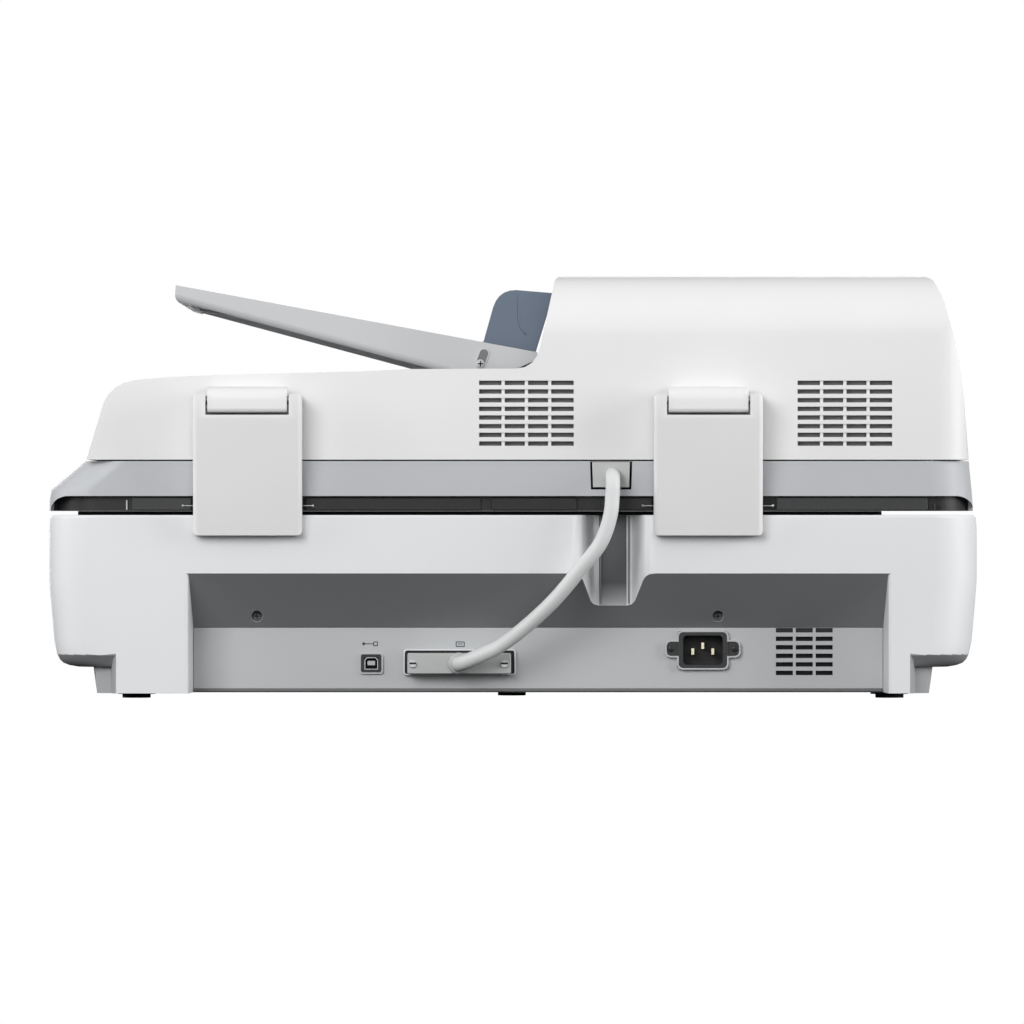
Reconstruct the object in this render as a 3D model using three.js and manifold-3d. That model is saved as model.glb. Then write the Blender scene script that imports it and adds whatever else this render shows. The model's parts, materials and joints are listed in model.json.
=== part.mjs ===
// A3 flatbed scanner with an automatic document feeder in its lid.
// Millimetres. +Z is up, the operator stands at -Y, the rear wall faces +Y.
// The origin is on the table, under the centre of the bounding box.
import * as THREE from "three";
import { ParametricGeometry } from "three/addons/geometries/ParametricGeometry.js";
import { mergeVertices } from "three/addons/utils/BufferGeometryUtils.js";
import Module from "manifold-3d";

const wasm = await Module();
wasm.setup();

// ---------------------------------------------------------------- driving dimensions
const HALF_WIDTH = 320;
const FRONT = -234;
const BASE_REAR = 212;
const BASE_BOTTOM = 4;
const BASE_TOP = 126.6;
const WALL = 3.2;
const WING_BOTTOM = 22;
const PLAN_RADIUS = 30;

const RECESS_RIGHT = 222.7;
const RECESS_LEFT = -257.6;
const RECESS_DRAFT = 1.7;
const RECESS_TOP = 86.5;
const IO_PANEL_Y = 170;
const IO_PANEL_TOP = 49;
const GROOVE_X = -68.8;
const GROOVE_FLOOR_Y = 187;

const FACET_TILT = 45.6;
const FACET_MIDDLE = [0, -221, 113.3];

const GLASS_TOP = 129.2;
const BEZEL_TOP = 129.3;
const PLATEN = { left: -214, right: 218, front: -160, rear: 137 };
const STRIP = { left: -243, right: -223, front: -160, rear: 137 };

const LID_FRONT = -206;
const LID_REAR = 210;
const BAND_BOTTOM = 129.4;
const BAND_TOP = 163.7;
const FEEDER_BOTTOM = 164.7;
const FEEDER_TOP = 291.3;
const REAR_BLOCK_FRONT = 168;
const DECK = 3;
const COVER_BOTTOM = 176;
const COVER_FRONT = -203;

const HINGE_CENTRES = { right: 182.2, left: -134 };
const HINGE_Y = 224;
const HINGE_Z = 205.5;
const BARREL_RADIUS = 9.2;
const PIN_RADIUS = 3;

const TRAY_PIVOT = [22.5, 0, 231];
const TRAY_TILT = 10.51;
const TRAY_TOP = 15.47;
const TRAY_FRONT = -175;
const TRAY_REAR = 155;
const PAPER_CENTRE = -10;

const FEED_AXIS = { x: -98, z: 246 };
const PICKUP_AXIS = { x: -66, z: 258 };
const SEPARATION_AXIS = { x: -98, z: 221 };
const EXIT_AXIS = { x: -70, z: 186 };
const TRANSPORT_AXIS = { x: -262, z: 152 };
const SHAFT_RADIUS = 3;
const FREE_PLAY = 0.4;

// The feeder lead, from its clamp on the lid to its plug in the rear recess.
const LEAD_RADIUS = 5;
const LEAD_ROUTE = [
  [-68.5, 226, 145], [-66.8, 227, 126.6], [-60.2, 226, 107.8], [-47.5, 222.5, 91.2],
  [-28.2, 215.5, 68.1], [-7.5, 207, 48.8], [8, 201.5, 37.2], [18, 200, 32],
];

// ---------------------------------------------------------------- solids from three.js geometry
// Turns a closed three.js geometry into a solid that can be joined and cut.
function solidOf(geometry) {
  const bare = geometry.clone();
  bare.deleteAttribute("normal");
  bare.deleteAttribute("uv");
  const merged = mergeVertices(bare, 1e-4);
  const corner = merged.index.array;
  const triangles = [];
  for (let i = 0; i < corner.length; i += 3) {
    const [a, b, c] = [corner[i], corner[i + 1], corner[i + 2]];
    if (a !== b && b !== c && c !== a) triangles.push(a, b, c);
  }
  return new wasm.Manifold(new wasm.Mesh({
    numProp: 3,
    vertProperties: new Float32Array(merged.attributes.position.array),
    triVerts: new Uint32Array(triangles),
  }));
}

const scanner = new THREE.Group();

// Adds a solid to the scene as one named mesh with its own material.
function addPart(name, solid, [color, roughness, metalness = 0], parent = scanner) {
  const { vertProperties, triVerts } = solid.getMesh();
  const geometry = new THREE.BufferGeometry();
  geometry.setAttribute("position", new THREE.BufferAttribute(vertProperties, 3));
  geometry.setIndex(new THREE.BufferAttribute(triVerts, 1));
  geometry.computeVertexNormals();
  const mesh = new THREE.Mesh(geometry, new THREE.MeshStandardMaterial({ color, roughness, metalness }));
  mesh.name = name;
  parent.add(mesh);
}

function block(x0, x1, y0, y1, z0, z1) {
  const geometry = new THREE.BoxGeometry(x1 - x0, y1 - y0, z1 - z0);
  geometry.translate((x0 + x1) / 2, (y0 + y1) / 2, (z0 + z1) / 2);
  return solidOf(geometry);
}

function shapeOf(points) {
  return new THREE.Shape(points.map(([a, b]) => new THREE.Vector2(a, b)));
}

function roundedShape(a0, a1, b0, b1, radius) {
  const shape = new THREE.Shape();
  shape.absarc(a1 - radius, b0 + radius, radius, -Math.PI / 2, 0);
  shape.absarc(a1 - radius, b1 - radius, radius, 0, Math.PI / 2);
  shape.absarc(a0 + radius, b1 - radius, radius, Math.PI / 2, Math.PI);
  shape.absarc(a0 + radius, b0 + radius, radius, Math.PI, Math.PI * 1.5);
  return shape;
}

function extruded(shape, depth, curveSegments) {
  return new THREE.ExtrudeGeometry(shape, { depth, bevelEnabled: false, curveSegments });
}

// A shape drawn in (x, y), raised along Z.
function alongZ(shape, z0, z1, curveSegments = 3) {
  return solidOf(extruded(shape, z1 - z0, curveSegments).translate(0, 0, z0));
}

// A shape drawn in (x, z), carried along Y.
function alongY(shape, y0, y1, curveSegments = 3) {
  return solidOf(extruded(shape, y1 - y0, curveSegments).rotateX(Math.PI / 2).translate(0, y1, 0));
}

// A shape drawn in (y, z), carried along X.
function alongX(shape, x0, x1, curveSegments = 3) {
  const turned = new THREE.Matrix4().makeBasis(
    new THREE.Vector3(0, 1, 0), new THREE.Vector3(0, 0, 1), new THREE.Vector3(1, 0, 0));
  return solidOf(extruded(shape, x1 - x0, curveSegments).applyMatrix4(turned).translate(x0, 0, 0));
}

// A round bar along one axis; a and b are its centre in the other two axes, in x, y, z order.
function bar(axis, a, b, radius, from, to, segments = 16) {
  const geometry = new THREE.CylinderGeometry(radius, radius, to - from, segments);
  const middle = (from + to) / 2;
  if (axis === "x") geometry.rotateZ(-Math.PI / 2).translate(middle, a, b);
  if (axis === "y") geometry.translate(a, middle, b);
  if (axis === "z") geometry.rotateX(Math.PI / 2).translate(a, b, middle);
  return solidOf(geometry);
}

// A round tube swept along a curve, with flat ends.
function swept(curve, radius, steps, around = 10) {
  const section = new THREE.Shape();
  section.absarc(0, 0, radius, 0, Math.PI * 2);
  return solidOf(new THREE.ExtrudeGeometry(section, {
    steps, extrudePath: curve, curveSegments: around / 2, bevelEnabled: false,
  }));
}

// A skin through rounded rectangles of different size, stacked along Z and closed at both ends.
function loft(rings, cornerSteps = 5) {
  const perCorner = cornerSteps + 1;
  const count = perCorner * 4;
  const rows = rings.length + 1;
  const skin = (u, v, target) => {
    const row = Math.round(v * rows);
    const ring = rings[Math.min(Math.max(row - 1, 0), rings.length - 1)];
    if (row === 0 || row === rows) {
      target.set((ring.left + ring.right) / 2, (ring.front + ring.rear) / 2, ring.z);
      return;
    }
    const step = Math.round(u * count) % count;
    const corner = Math.floor(step / perCorner);
    const angle = (corner + (step % perCorner) / cornerSteps) * Math.PI / 2;
    const r = ring.radius ?? PLAN_RADIUS;
    const x = corner === 0 || corner === 3 ? ring.right - r : ring.left + r;
    const y = corner < 2 ? ring.rear - r : ring.front + r;
    target.set(x + r * Math.cos(angle), y + r * Math.sin(angle), ring.z);
  };
  return solidOf(new ParametricGeometry(skin, count, rows));
}

function joined(...solids) {
  return solids.reduce((whole, piece) => whole.add(piece));
}

function cutBy(solid, ...tools) {
  return tools.reduce((rest, tool) => rest.subtract(tool), solid);
}

// A grid of upright or level slots cut through a wall that faces Y.
function slotGrid({ x, z, columns, rows, pitchX, pitchZ, width, height, y0, y1 }) {
  const slots = [];
  for (let column = 0; column < columns; column += 1) {
    for (let row = 0; row < rows; row += 1) {
      const left = x + column * pitchX;
      const low = z + row * pitchZ;
      slots.push(block(left, left + width, y0, y1, low, low + height));
    }
  }
  return joined(...slots);
}

// ---------------------------------------------------------------- base
const WHITE = [0xd7d8da, 0.55];
const DARK = [0x1b1b1d, 0.5];
const METAL = [0xa9abae, 0.35, 0.9];
const RUBBER = [0x202022, 0.9];

// Half-width of the base at each height, and how far its rear edge is set in there:
// the sides bow out a little and the wings slope up to the rear underneath.
const BASE_SIDE = [
  [WING_BOTTOM, 301, 8.8], [23, 306.5, 7.8], [24.6, 310.4, 6], [27, 312.8, 3.6], [30.2, 314.2, 0.2],
  [31, 314.6, 0], [40, 316.4, 0], [68, 319, 0], [82, 320, 0], [116, 320, 0],
  [124.8, 319.4, 0], [BASE_TOP, 318.2, 0.8],
];
const LEG_TOP = 32;

function baseSkin(inset, bottom, top) {
  const rings = BASE_SIDE.map(([height, half, tuck]) => ({
    z: Math.min(Math.max(height, bottom), top),
    left: -half + inset,
    right: half - inset,
    front: FRONT + HALF_WIDTH - half + inset,
    rear: BASE_REAR - tuck - inset,
    radius: PLAN_RADIUS - inset,
  }));
  return loft(rings.filter((ring, i) => i === 0 || ring.z > rings[i - 1].z));
}

// The plinth between the wings: its rear corners are cut back in two steps and its sides lean inwards.
function plinth(inset, bottom, top) {
  const side = 290 - inset;
  const flat = 272.8 - inset;
  const front = FRONT + 12 + inset;
  const rear = BASE_REAR - inset;
  const corner = [[side, rear - 24], [side - 2.6, rear - 16.5], [flat + 4, rear - 13],
    [flat + 2.4, rear - 3], [flat, rear]];
  const plan = shapeOf([[-flat, front], [flat, front], [side, front + 20], ...corner,
    ...corner.map(([x, y]) => [-x, y]).reverse(), [-side, front + 20]]);
  const lean = alongY(shapeOf([[side - 3.6, bottom], [side, 28], [side, top], [-side, top], [-side, 28],
    [3.6 - side, bottom]]), front, rear);
  return alongZ(plan, bottom, top).intersect(lean);
}

// The recess at the rear: a sloping ceiling, slightly leaning sides and an upright face with the sockets.
function recess(growth, faceY) {
  const outside = BASE_REAR + 1;
  const rise = (RECESS_TOP - IO_PANEL_TOP) / (BASE_REAR - IO_PANEL_Y);
  const profile = shapeOf([[outside, -2], [outside, RECESS_TOP + rise + growth * 1.3],
    [IO_PANEL_Y - growth, IO_PANEL_TOP + growth], [faceY, IO_PANEL_TOP + growth], [faceY, -2]]);
  const right = RECESS_RIGHT + growth;
  const left = RECESS_LEFT - growth;
  const flare = [[2.4, outside], [2.2, BASE_REAR], [0.8, BASE_REAR - 0.8], [0.1, BASE_REAR - 2.4]];
  const plan = shapeOf([...flare.map(([out, y]) => [left - out, y]),
    [left + RECESS_DRAFT, IO_PANEL_Y], [left + RECESS_DRAFT, faceY],
    [right - RECESS_DRAFT, faceY], [right - RECESS_DRAFT, IO_PANEL_Y],
    ...flare.map(([out, y]) => [right + out, y]).reverse()]);
  return alongX(profile, left - 3, right + 3).intersect(alongZ(plan, -3, BASE_TOP));
}

// The upright groove that the feeder lead falls into when the lid moves.
function leadGroove() {
  const half = [[9.5, GROOVE_FLOOR_Y], [13, 188], [15.1, 190.5], [20.6, 206.7], [22.3, 209.6], [25, 211.4],
    [29, BASE_REAR], [30, BASE_REAR + 1]];
  const right = half.map(([x, y]) => [GROOVE_X + x, y]);
  const left = half.map(([x, y]) => [GROOVE_X - x, y]).reverse();
  return alongZ(shapeOf([...right, ...left]), 50, BASE_TOP + 1);
}

// Everything in front of and above the sloping facet at the front edge.
function facetCutter(inset) {
  const tilt = THREE.MathUtils.degToRad(FACET_TILT);
  const middleY = FACET_MIDDLE[1] + inset * Math.sin(tilt);
  const middleZ = FACET_MIDDLE[2] - inset * Math.cos(tilt);
  const reach = 60;
  const low = [middleY - reach * Math.cos(tilt), middleZ - reach * Math.sin(tilt)];
  const high = [middleY + reach * Math.cos(tilt), middleZ + reach * Math.sin(tilt)];
  return alongX(shapeOf([low, high, [low[0], high[1]]]), -HALF_WIDTH - 5, HALF_WIDTH + 5);
}

// A solid carried through a matrix.
function moved(solid, matrix) {
  const { vertProperties, triVerts } = solid.getMesh();
  const geometry = new THREE.BufferGeometry();
  geometry.setAttribute("position", new THREE.BufferAttribute(vertProperties, 3));
  geometry.setIndex(new THREE.BufferAttribute(triVerts, 1));
  return solidOf(geometry.applyMatrix4(matrix));
}

function tilted(solid) {
  const tilt = new THREE.Matrix4().makeRotationX(THREE.MathUtils.degToRad(FACET_TILT));
  return moved(solid, tilt.setPosition(...FACET_MIDDLE));
}

const CONTROL = { left: -120, right: 120, half: 12.5, depth: 3 };
const BUTTONS = [
  { name: "power_button", x: -98, radius: 6, color: 0xd0d2d4 },
  { name: "scan_button", x: 70, radius: 7.5, color: 0x8fb2a0 },
  { name: "cancel_button", x: 97, radius: 6, color: 0xc7a58f },
];
const LOCK = { front: -36, rear: -6, bottom: 9, top: 17.5 };

function baseHousing() {
  const shell = joined(baseSkin(0, WING_BOTTOM, BASE_TOP), plinth(0, BASE_BOTTOM, LEG_TOP));
  const outer = cutBy(shell, facetCutter(0));
  const keepClear = joined(
    recess(WALL, IO_PANEL_Y - 2 * WALL),
    block(GROOVE_X - 32, GROOVE_X + 32, GROOVE_FLOOR_Y - WALL, BASE_REAR, 50, BASE_TOP),
    facetCutter(WALL));
  const cavity = cutBy(
    joined(baseSkin(WALL, WING_BOTTOM + WALL, BASE_TOP - WALL), plinth(WALL, -1, LEG_TOP - WALL)),
    keepClear);
  const panelOpening = block(RECESS_LEFT + 10, RECESS_RIGHT - 10, 158, IO_PANEL_Y, 10, 45);
  const platenOpening = block(PLATEN.left + 4, PLATEN.right - 4, PLATEN.front + 4, PLATEN.rear - 4, 110, 130);
  const stripOpening = block(STRIP.left + 3, STRIP.right - 3, STRIP.front + 4, STRIP.rear - 4, 110, 130);
  const controlPocket = joined(
    tilted(block(CONTROL.left, CONTROL.right, -CONTROL.half, CONTROL.half, -CONTROL.depth + 0.2, 2)),
    tilted(block(CONTROL.left + 3, CONTROL.right - 3, -8.6, 8.6, -7, 0)));
  const lockSlot = block(-HALF_WIDTH, -280, LOCK.front, LOCK.rear, LOCK.bottom, LOCK.top);
  const bracketSlots = Object.values(HINGE_CENTRES).map(
    (x) => block(x - 28.5, x + 28.5, 204, 214, 113.8, 118.4));
  const screwHoles = [176.8, -141.5].map((x) => bar("y", x, 56.7, 4, 165, 185, 12));
  return cutBy(outer, cavity, recess(0, IO_PANEL_Y - WALL), leadGroove(), panelOpening,
    platenOpening, stripOpening, controlPocket, lockSlot, ...bracketSlots, ...screwHoles);
}

function bottomPlate() {
  const outline = [[-268, -218], [268, -218], [282, -196], [282, 163], [-282, 163], [-282, -196]];
  const plate = alongZ(shapeOf(outline), 4.4, 7);
  const posts = [-276, 276].map((x) => block(x - 4, x + 4, -52, -28, 6.5, 90));
  const motorSeat = block(244, 280, -90, -54, 6.5, 39.7);
  const idlerSeat = joined(block(-280, -264, -80, -64, 6.5, 84), bar("z", -272, -72, 2.4, 83, 96, 12));
  const boardSeats = [[-30, 30], [190, 30], [-30, 140], [190, 140]].map(
    ([x, y]) => bar("z", x, y, 4, 6.5, 19.7, 10));
  const supplySeat = block(-228, -62, 76, 150, 6.5, 8.7);
  const railHoles = bar("x", -40, 84, 4.3, -285, 285, 12);
  return cutBy(joined(plate, ...posts, motorSeat, idlerSeat, ...boardSeats, supplySeat), railHoles);
}

const INLET = { x: -131.2, z: 33.2, halfWidth: 17.8, halfHeight: 13.5, earHalfWidth: 26.1 };
const USB = { x: 98, z: 24 };
const SOCKET = { left: -2, right: 75.8, bottom: 15.8, top: 33.9 };

function ioPanel() {
  const plate = block(RECESS_LEFT + RECESS_DRAFT + 0.4, RECESS_RIGHT - RECESS_DRAFT - 0.4,
    IO_PANEL_Y - DECK, IO_PANEL_Y, 4.6, IO_PANEL_TOP - 0.3);
  const holes = [
    block(INLET.x - 15.3, INLET.x + 15.3, 160, 175, INLET.z - 11.9, INLET.z + 11.9),
    block(USB.x - 6.4, USB.x + 6.4, 160, 175, USB.z - 6.2, USB.z + 6.2),
    block(SOCKET.left + 2, SOCKET.right - 2, 160, 175, SOCKET.bottom + 1.2, SOCKET.top - 1.2),
  ];
  const vent = slotGrid({
    x: -221, z: 15.9, columns: 3, rows: 6, pitchX: 13.75, pitchZ: 5.9,
    width: 11.8, height: 3.1, y0: 160, y1: 175,
  });
  return cutBy(plate, ...holes, vent);
}

function acInlet() {
  const { x, z, halfWidth, halfHeight, earHalfWidth } = INLET;
  const flange = joined(
    alongY(roundedShape(x - halfWidth, x + halfWidth, z - halfHeight, z + halfHeight, 3), 170.3, 172.6),
    alongY(roundedShape(x - earHalfWidth, x + earHalfWidth, z - 5.1, z + 6.8, 3.6), 170.3, 171.9));
  const body = block(x - 15, x + 15, 148, 170.4, z - 11.6, z + 11.6);
  const mouth = alongY(roundedShape(x - 13.6, x + 13.6, z - 10, z + 10, 2.5), 153, 174);
  return cutBy(joined(flange, body), mouth);
}

function inletContacts() {
  const { x, z } = INLET;
  const pins = [[-6.9, -1], [0, 3], [6.9, -1]].map(
    ([dx, dz]) => block(x + dx - 1, x + dx + 1, 154, 168, z + dz - 2.2, z + dz + 2.2));
  return joined(block(x - 10, x + 10, 153.3, 154.6, z - 4, z + 6), ...pins);
}

function usbPort() {
  const { x, z } = USB;
  const body = joined(block(x - 6.1, x + 6.1, 154, 170.2, z - 5.9, z + 5.9),
    alongY(roundedShape(x - 8.4, x + 8.4, z - 7.6, z + 7.6, 2.4), 170.2, 171.2));
  return joined(cutBy(body, block(x - 4.4, x + 4.4, 158, 172, z - 4.2, z + 4.2)),
    block(x - 2.8, x + 2.8, 157.5, 168, z - 1.5, z + 1.5));
}

function feederSocket() {
  const { left, right, bottom, top } = SOCKET;
  const body = joined(block(left + 2.4, right - 2.4, 152, 170.2, bottom + 1.6, top - 1.6),
    alongY(roundedShape(left, right, bottom, top, 2), 170.2, 171.3));
  return cutBy(body, block(left + 4.4, right - 4.4, 159, 172, bottom + 3.6, top - 3.6));
}

const PLUG_BOSS = { x: 37.6, z: 24.4 };

function feederPlug() {
  const { left, right, bottom, top } = SOCKET;
  const elbow = new THREE.QuadraticBezierCurve3(new THREE.Vector3(PLUG_BOSS.x, 187, PLUG_BOSS.z),
    new THREE.Vector3(PLUG_BOSS.x, 197, 22.6), new THREE.Vector3(18.6, 199.9, 31.7));
  return joined(
    block(left + 4.9, right - 4.9, 160, 172, bottom + 4.1, top - 4.1),
    alongY(roundedShape(left + 3.4, right - 2.8, bottom + 1.3, top - 2.5, 1.2), 171.6, 184),
    bar("y", PLUG_BOSS.x, PLUG_BOSS.z, 7.6, 183, 190, 20),
    swept(elbow, 5.6, 8, 12));
}

function leadClamp() {
  const x = LEAD_ROUTE[0][0];
  const elbow = new THREE.QuadraticBezierCurve3(new THREE.Vector3(x, 208, 154.2),
    new THREE.Vector3(x, 226, 156), new THREE.Vector3(x, 226, 145.7));
  const face = shapeOf([[-79.9, 145.6], [-55, 145.6], [-54.4, 163], [-80.4, 163]]);
  return joined(alongY(face, 201, 210.5), swept(elbow, 5.4, 8, 12));
}

function feederLead() {
  const curve = new THREE.CatmullRomCurve3(LEAD_ROUTE.map((point) => new THREE.Vector3(...point)));
  return swept(curve, LEAD_RADIUS, 26, 10);
}

function bezel() {
  const frame = alongZ(roundedShape(-255, 301, -188, 168, 4), BASE_TOP + 0.1, BEZEL_TOP, 2);
  const gap = 0.3;
  const windows = [PLATEN, STRIP].map(
    (w) => block(w.left - gap, w.right + gap, w.front - gap, w.rear + gap, 120, 131));
  return cutBy(frame, ...windows);
}

function pane(window) {
  return block(window.left, window.right, window.front, window.rear, BASE_TOP + 0.1, GLASS_TOP);
}

function foot(x, y, collarRadius = 13.2) {
  return joined(bar("z", x, y, 9.8, 0, 3, 20), bar("z", x, y, collarRadius, 2.6, 4.2, 20));
}

function carriage(x) {
  const body = block(x - 30, x + 30, -165, 142, 98, 119);
  const lightSlot = block(x - 4, x + 4, -155, 132, 112, 120);
  const bearing = block(x - 28, x + 28, -52, -28, 76, 99);
  const beltClip = block(x - 8, x + 8, -66, -50, 86, 99);
  const beltGap = block(x - 9, x + 9, -65.4, -62.3, 85, 96.6);
  const railBore = bar("x", -40, 84, 4.4, x - 40, x + 40, 16);
  return cutBy(joined(body, bearing, beltClip), lightSlot, railBore, beltGap);
}

const BELT = { right: 262, left: -272, y: -72, bottom: 88.5, top: 94.5, radius: 7.6 };

function beltLoop(radius, bottom, top) {
  const shape = new THREE.Shape();
  shape.absarc(BELT.right, BELT.y, radius, -Math.PI / 2, Math.PI / 2);
  shape.absarc(BELT.left, BELT.y, radius, Math.PI / 2, Math.PI * 1.5);
  return alongZ(shape, bottom, top, 5);
}

function driveBelt() {
  return cutBy(beltLoop(9.2, BELT.bottom, BELT.top), beltLoop(8, BELT.bottom - 1, BELT.top + 1));
}

function pulley(x, bore) {
  const wheel = joined(bar("z", x, BELT.y, BELT.radius, BELT.bottom - 2, BELT.top, 20),
    bar("z", x, BELT.y, BELT.radius + 2.4, BELT.bottom - 2, BELT.bottom - 0.6, 20));
  return cutBy(wheel, bar("z", x, BELT.y, bore, 80, 100, 14));
}

function beltMotor() {
  return joined(block(242, 282, -92, -52, 40, 78), bar("z", BELT.right, BELT.y, 11, 77, 80, 16),
    bar("z", BELT.right, BELT.y, 2.5, 79, 97, 12));
}

function powerSupply() {
  return block(-224, -66, 78, 146, 9, 58);
}

function mainBoard() {
  const board = block(-38, 198, 22, 148, 20, 21.8);
  const chips = [[20, 60, 26, 26, 3], [90, 90, 30, 30, 3.5], [150, 60, 22, 40, 6], [60, 125, 60, 14, 9]];
  return joined(board, ...chips.map(
    ([x, y, w, d, h]) => block(x - w / 2, x + w / 2, y - d / 2, y + d / 2, 21, 21.8 + h)));
}

function hingeBracket(x) {
  const plate = joined(block(x - 28, x + 28, 214, 217, 114, 192), block(x - 34, x + 34, 214, 217, 122, 190));
  const cheeks = [-1, 1].map((side) => {
    const near = x + side * 31;
    const far = x + side * 34;
    const profile = shapeOf([[214, 150], [217, 122], [218.4, 122], [229.6, 190], [229.6, 203], [228, 209],
      [220, 209], [214, 196]]);
    return alongX(profile, Math.min(near, far), Math.max(near, far));
  });
  const footPlate = block(x - 28, x + 28, 197, 217, 114, 118);
  const innerLeg = block(x - 28, x + 28, 197, 200, 88, 118);
  const pinHole = bar("x", HINGE_Y, HINGE_Z, PIN_RADIUS + 0.2, x - 40, x + 40, 16);
  return cutBy(joined(plate, ...cheeks, footPlate, innerLeg), pinHole);
}

function hingePin(x) {
  return bar("x", HINGE_Y, HINGE_Z, PIN_RADIUS, x - 34, x + 34, 16);
}

// A hinge cover is thin at the bottom and leans outwards up to its knee, and is upright above that.
const COVER = { low: 112.6, knee: 192, top: 209.6, half: 37.4, wall: 3.1, lowRear: 220.5, rear: 234 };

function hingeCover(x) {
  const { low, knee, top, half, wall, lowRear, rear } = COVER;
  const lean = (rear - lowRear) / (knee - low);
  const shear = new THREE.Matrix4().set(1, 0, 0, 0, 0, 1, lean, -lean * low, 0, 0, 1, 0, 0, 0, 0, 1);
  const leaning = moved(alongZ(roundedShape(x - half, x + half, 190, lowRear, 3.5), low, knee), shear);
  const upright = alongZ(roundedShape(x - half, x + half, 190, rear, 3.5), knee - 0.01, top);
  const outer = joined(leaning, upright)
    .intersect(alongY(roundedShape(x - half, x + half, low, top, 3.2), BASE_REAR + 0.4, rear + 1));
  const inside = half - wall;
  const hollow = joined(moved(block(x - inside, x + inside, 150, lowRear - wall, low - 4, knee), shear),
    block(x - inside, x + inside, 150, rear - wall, knee - 0.01, top + 1));
  const notch = block(x - 28.6, x + 28.6, 205, 240, 195.3, 215);
  return cutBy(outer, hollow, notch);
}

function hingeArm(x) {
  const barrel = bar("x", HINGE_Y, HINGE_Z, BARREL_RADIUS, x - 27.3, x + 27.3, 28);
  const heelRadius = 3;
  const heelRear = HINGE_Y + BARREL_RADIUS;
  const heelBottom = HINGE_Z - BARREL_RADIUS + 0.6;
  const heelShape = new THREE.Shape();
  heelShape.moveTo(HINGE_Y, HINGE_Z);
  heelShape.lineTo(HINGE_Y, heelBottom);
  heelShape.absarc(heelRear - heelRadius, heelBottom + heelRadius, heelRadius, -Math.PI / 2, 0);
  heelShape.lineTo(heelRear, HINGE_Z);
  const heel = alongX(heelShape, x - 27.3, x + 27.3, 4);
  const leaf = block(x - 25, x + 25, 178, HINGE_Y, 207.2, 214.2);
  const rootPlate = block(x - 25, x + 25, 171.4, 179, 186, 214.2);
  const bore = bar("x", HINGE_Y, HINGE_Z, PIN_RADIUS + 0.3, x - 31, x + 31, 16);
  return cutBy(joined(barrel, heel, leaf, rootPlate), bore);
}

// The lock's slider: a plate inside the plinth's side and a knob through the slot.
function transportLock() {
  return joined(block(-284, -281.6, -38, -4, 8, 18.6), block(-292.4, -283, -34, -24, 9.6, 16.9));
}

function buildBase() {
  addPart("base_housing", baseHousing(), WHITE);
  addPart("bottom_plate", bottomPlate(), METAL);
  addPart("rear_io_panel", ioPanel(), [0xb2b4b6, 0.6]);
  addPart("ac_inlet", acInlet(), [0x303234, 0.5]);
  addPart("inlet_contacts", inletContacts(), METAL);
  addPart("usb_port", usbPort(), METAL);
  addPart("adf_socket", feederSocket(), [0xc8cacb, 0.4, 0.6]);
  addPart("adf_plug", feederPlug(), [0xa1a3a2, 0.55]);
  addPart("glass_bezel", bezel(), DARK);
  addPart("platen_glass", pane(PLATEN), [0xc8d8d4, 0.05]);
  addPart("adf_strip_glass", pane(STRIP), [0xc8d8d4, 0.05]);
  addPart("carriage_rail", bar("x", -40, 84, 4, -280, 280, 16), METAL);
  addPart("scan_carriage", carriage(-233), DARK);
  addPart("belt_motor", beltMotor(), [0x4a4c50, 0.5, 0.6]);
  addPart("drive_belt", driveBelt(), RUBBER);
  addPart("motor_pulley", pulley(BELT.right, 2.8), [0xc9c4b0, 0.5]);
  addPart("idler_pulley", pulley(BELT.left, 2.8), [0xc9c4b0, 0.5]);
  addPart("power_supply", powerSupply(), METAL);
  addPart("main_board", mainBoard(), [0x2b5a3c, 0.6]);
  addPart("foot_rear_right", foot(261, 148), RUBBER);
  addPart("foot_middle", foot(0.8, 60, 12), RUBBER);
  addPart("foot_rear_left", foot(-261, 148), RUBBER);
  addPart("foot_front_right", foot(256, -196), RUBBER);
  addPart("foot_front_left", foot(-256, -196), RUBBER);
  for (const [side, x] of Object.entries(HINGE_CENTRES)) {
    addPart(`hinge_bracket_${side}`, hingeBracket(x), METAL);
    addPart(`hinge_cover_${side}`, hingeCover(x), WHITE);
    addPart(`hinge_pin_${side}`, hingePin(x), METAL);
    addPart(`hinge_arm_${side}`, hingeArm(x), WHITE);
  }
  addPart("transport_lock", transportLock(), [0x8f9296, 0.5]);
}

function buildControls() {
  const facet = new THREE.Group();
  facet.position.set(...FACET_MIDDLE);
  facet.rotation.x = THREE.MathUtils.degToRad(FACET_TILT);
  scanner.add(facet);
  const { left, right, half } = CONTROL;
  const plate = block(left + FREE_PLAY, right - FREE_PLAY, FREE_PLAY - half, half - FREE_PLAY, -2.4, 0.3);
  const holes = BUTTONS.map(({ x, radius }) => bar("z", x, 0, radius + FREE_PLAY, -5, 2, 20));
  addPart("control_panel", cutBy(plate, ...holes), [0x3a3d42, 0.35], facet);
  for (const { name, x, radius, color } of BUTTONS) {
    const collar = bar("z", x, 0, Math.min(radius + 1.4, 8), -4.6, -2.9, 20);
    const cap = joined(bar("z", x, 0, radius, -4.4, 1.8, 20), collar);
    addPart(name, cap, [color, 0.45], facet);
  }
}

// ---------------------------------------------------------------- feeder lid
const FEEDER_WHITE = [0xdedede, 0.5];
const GREY_BAND = [0xb6b8bb, 0.55];

// The grey band: upright at the left, flared outwards at the right.
const BAND_SIDES = [[BAND_BOTTOM, -317.6, 320], [137, -317.1, 320], [143.9, -316.5, 318.7],
  [150.9, -315.8, 310.4], [157.8, -315.1, 302], [BAND_TOP, -314.6, 295.4]];

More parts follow.
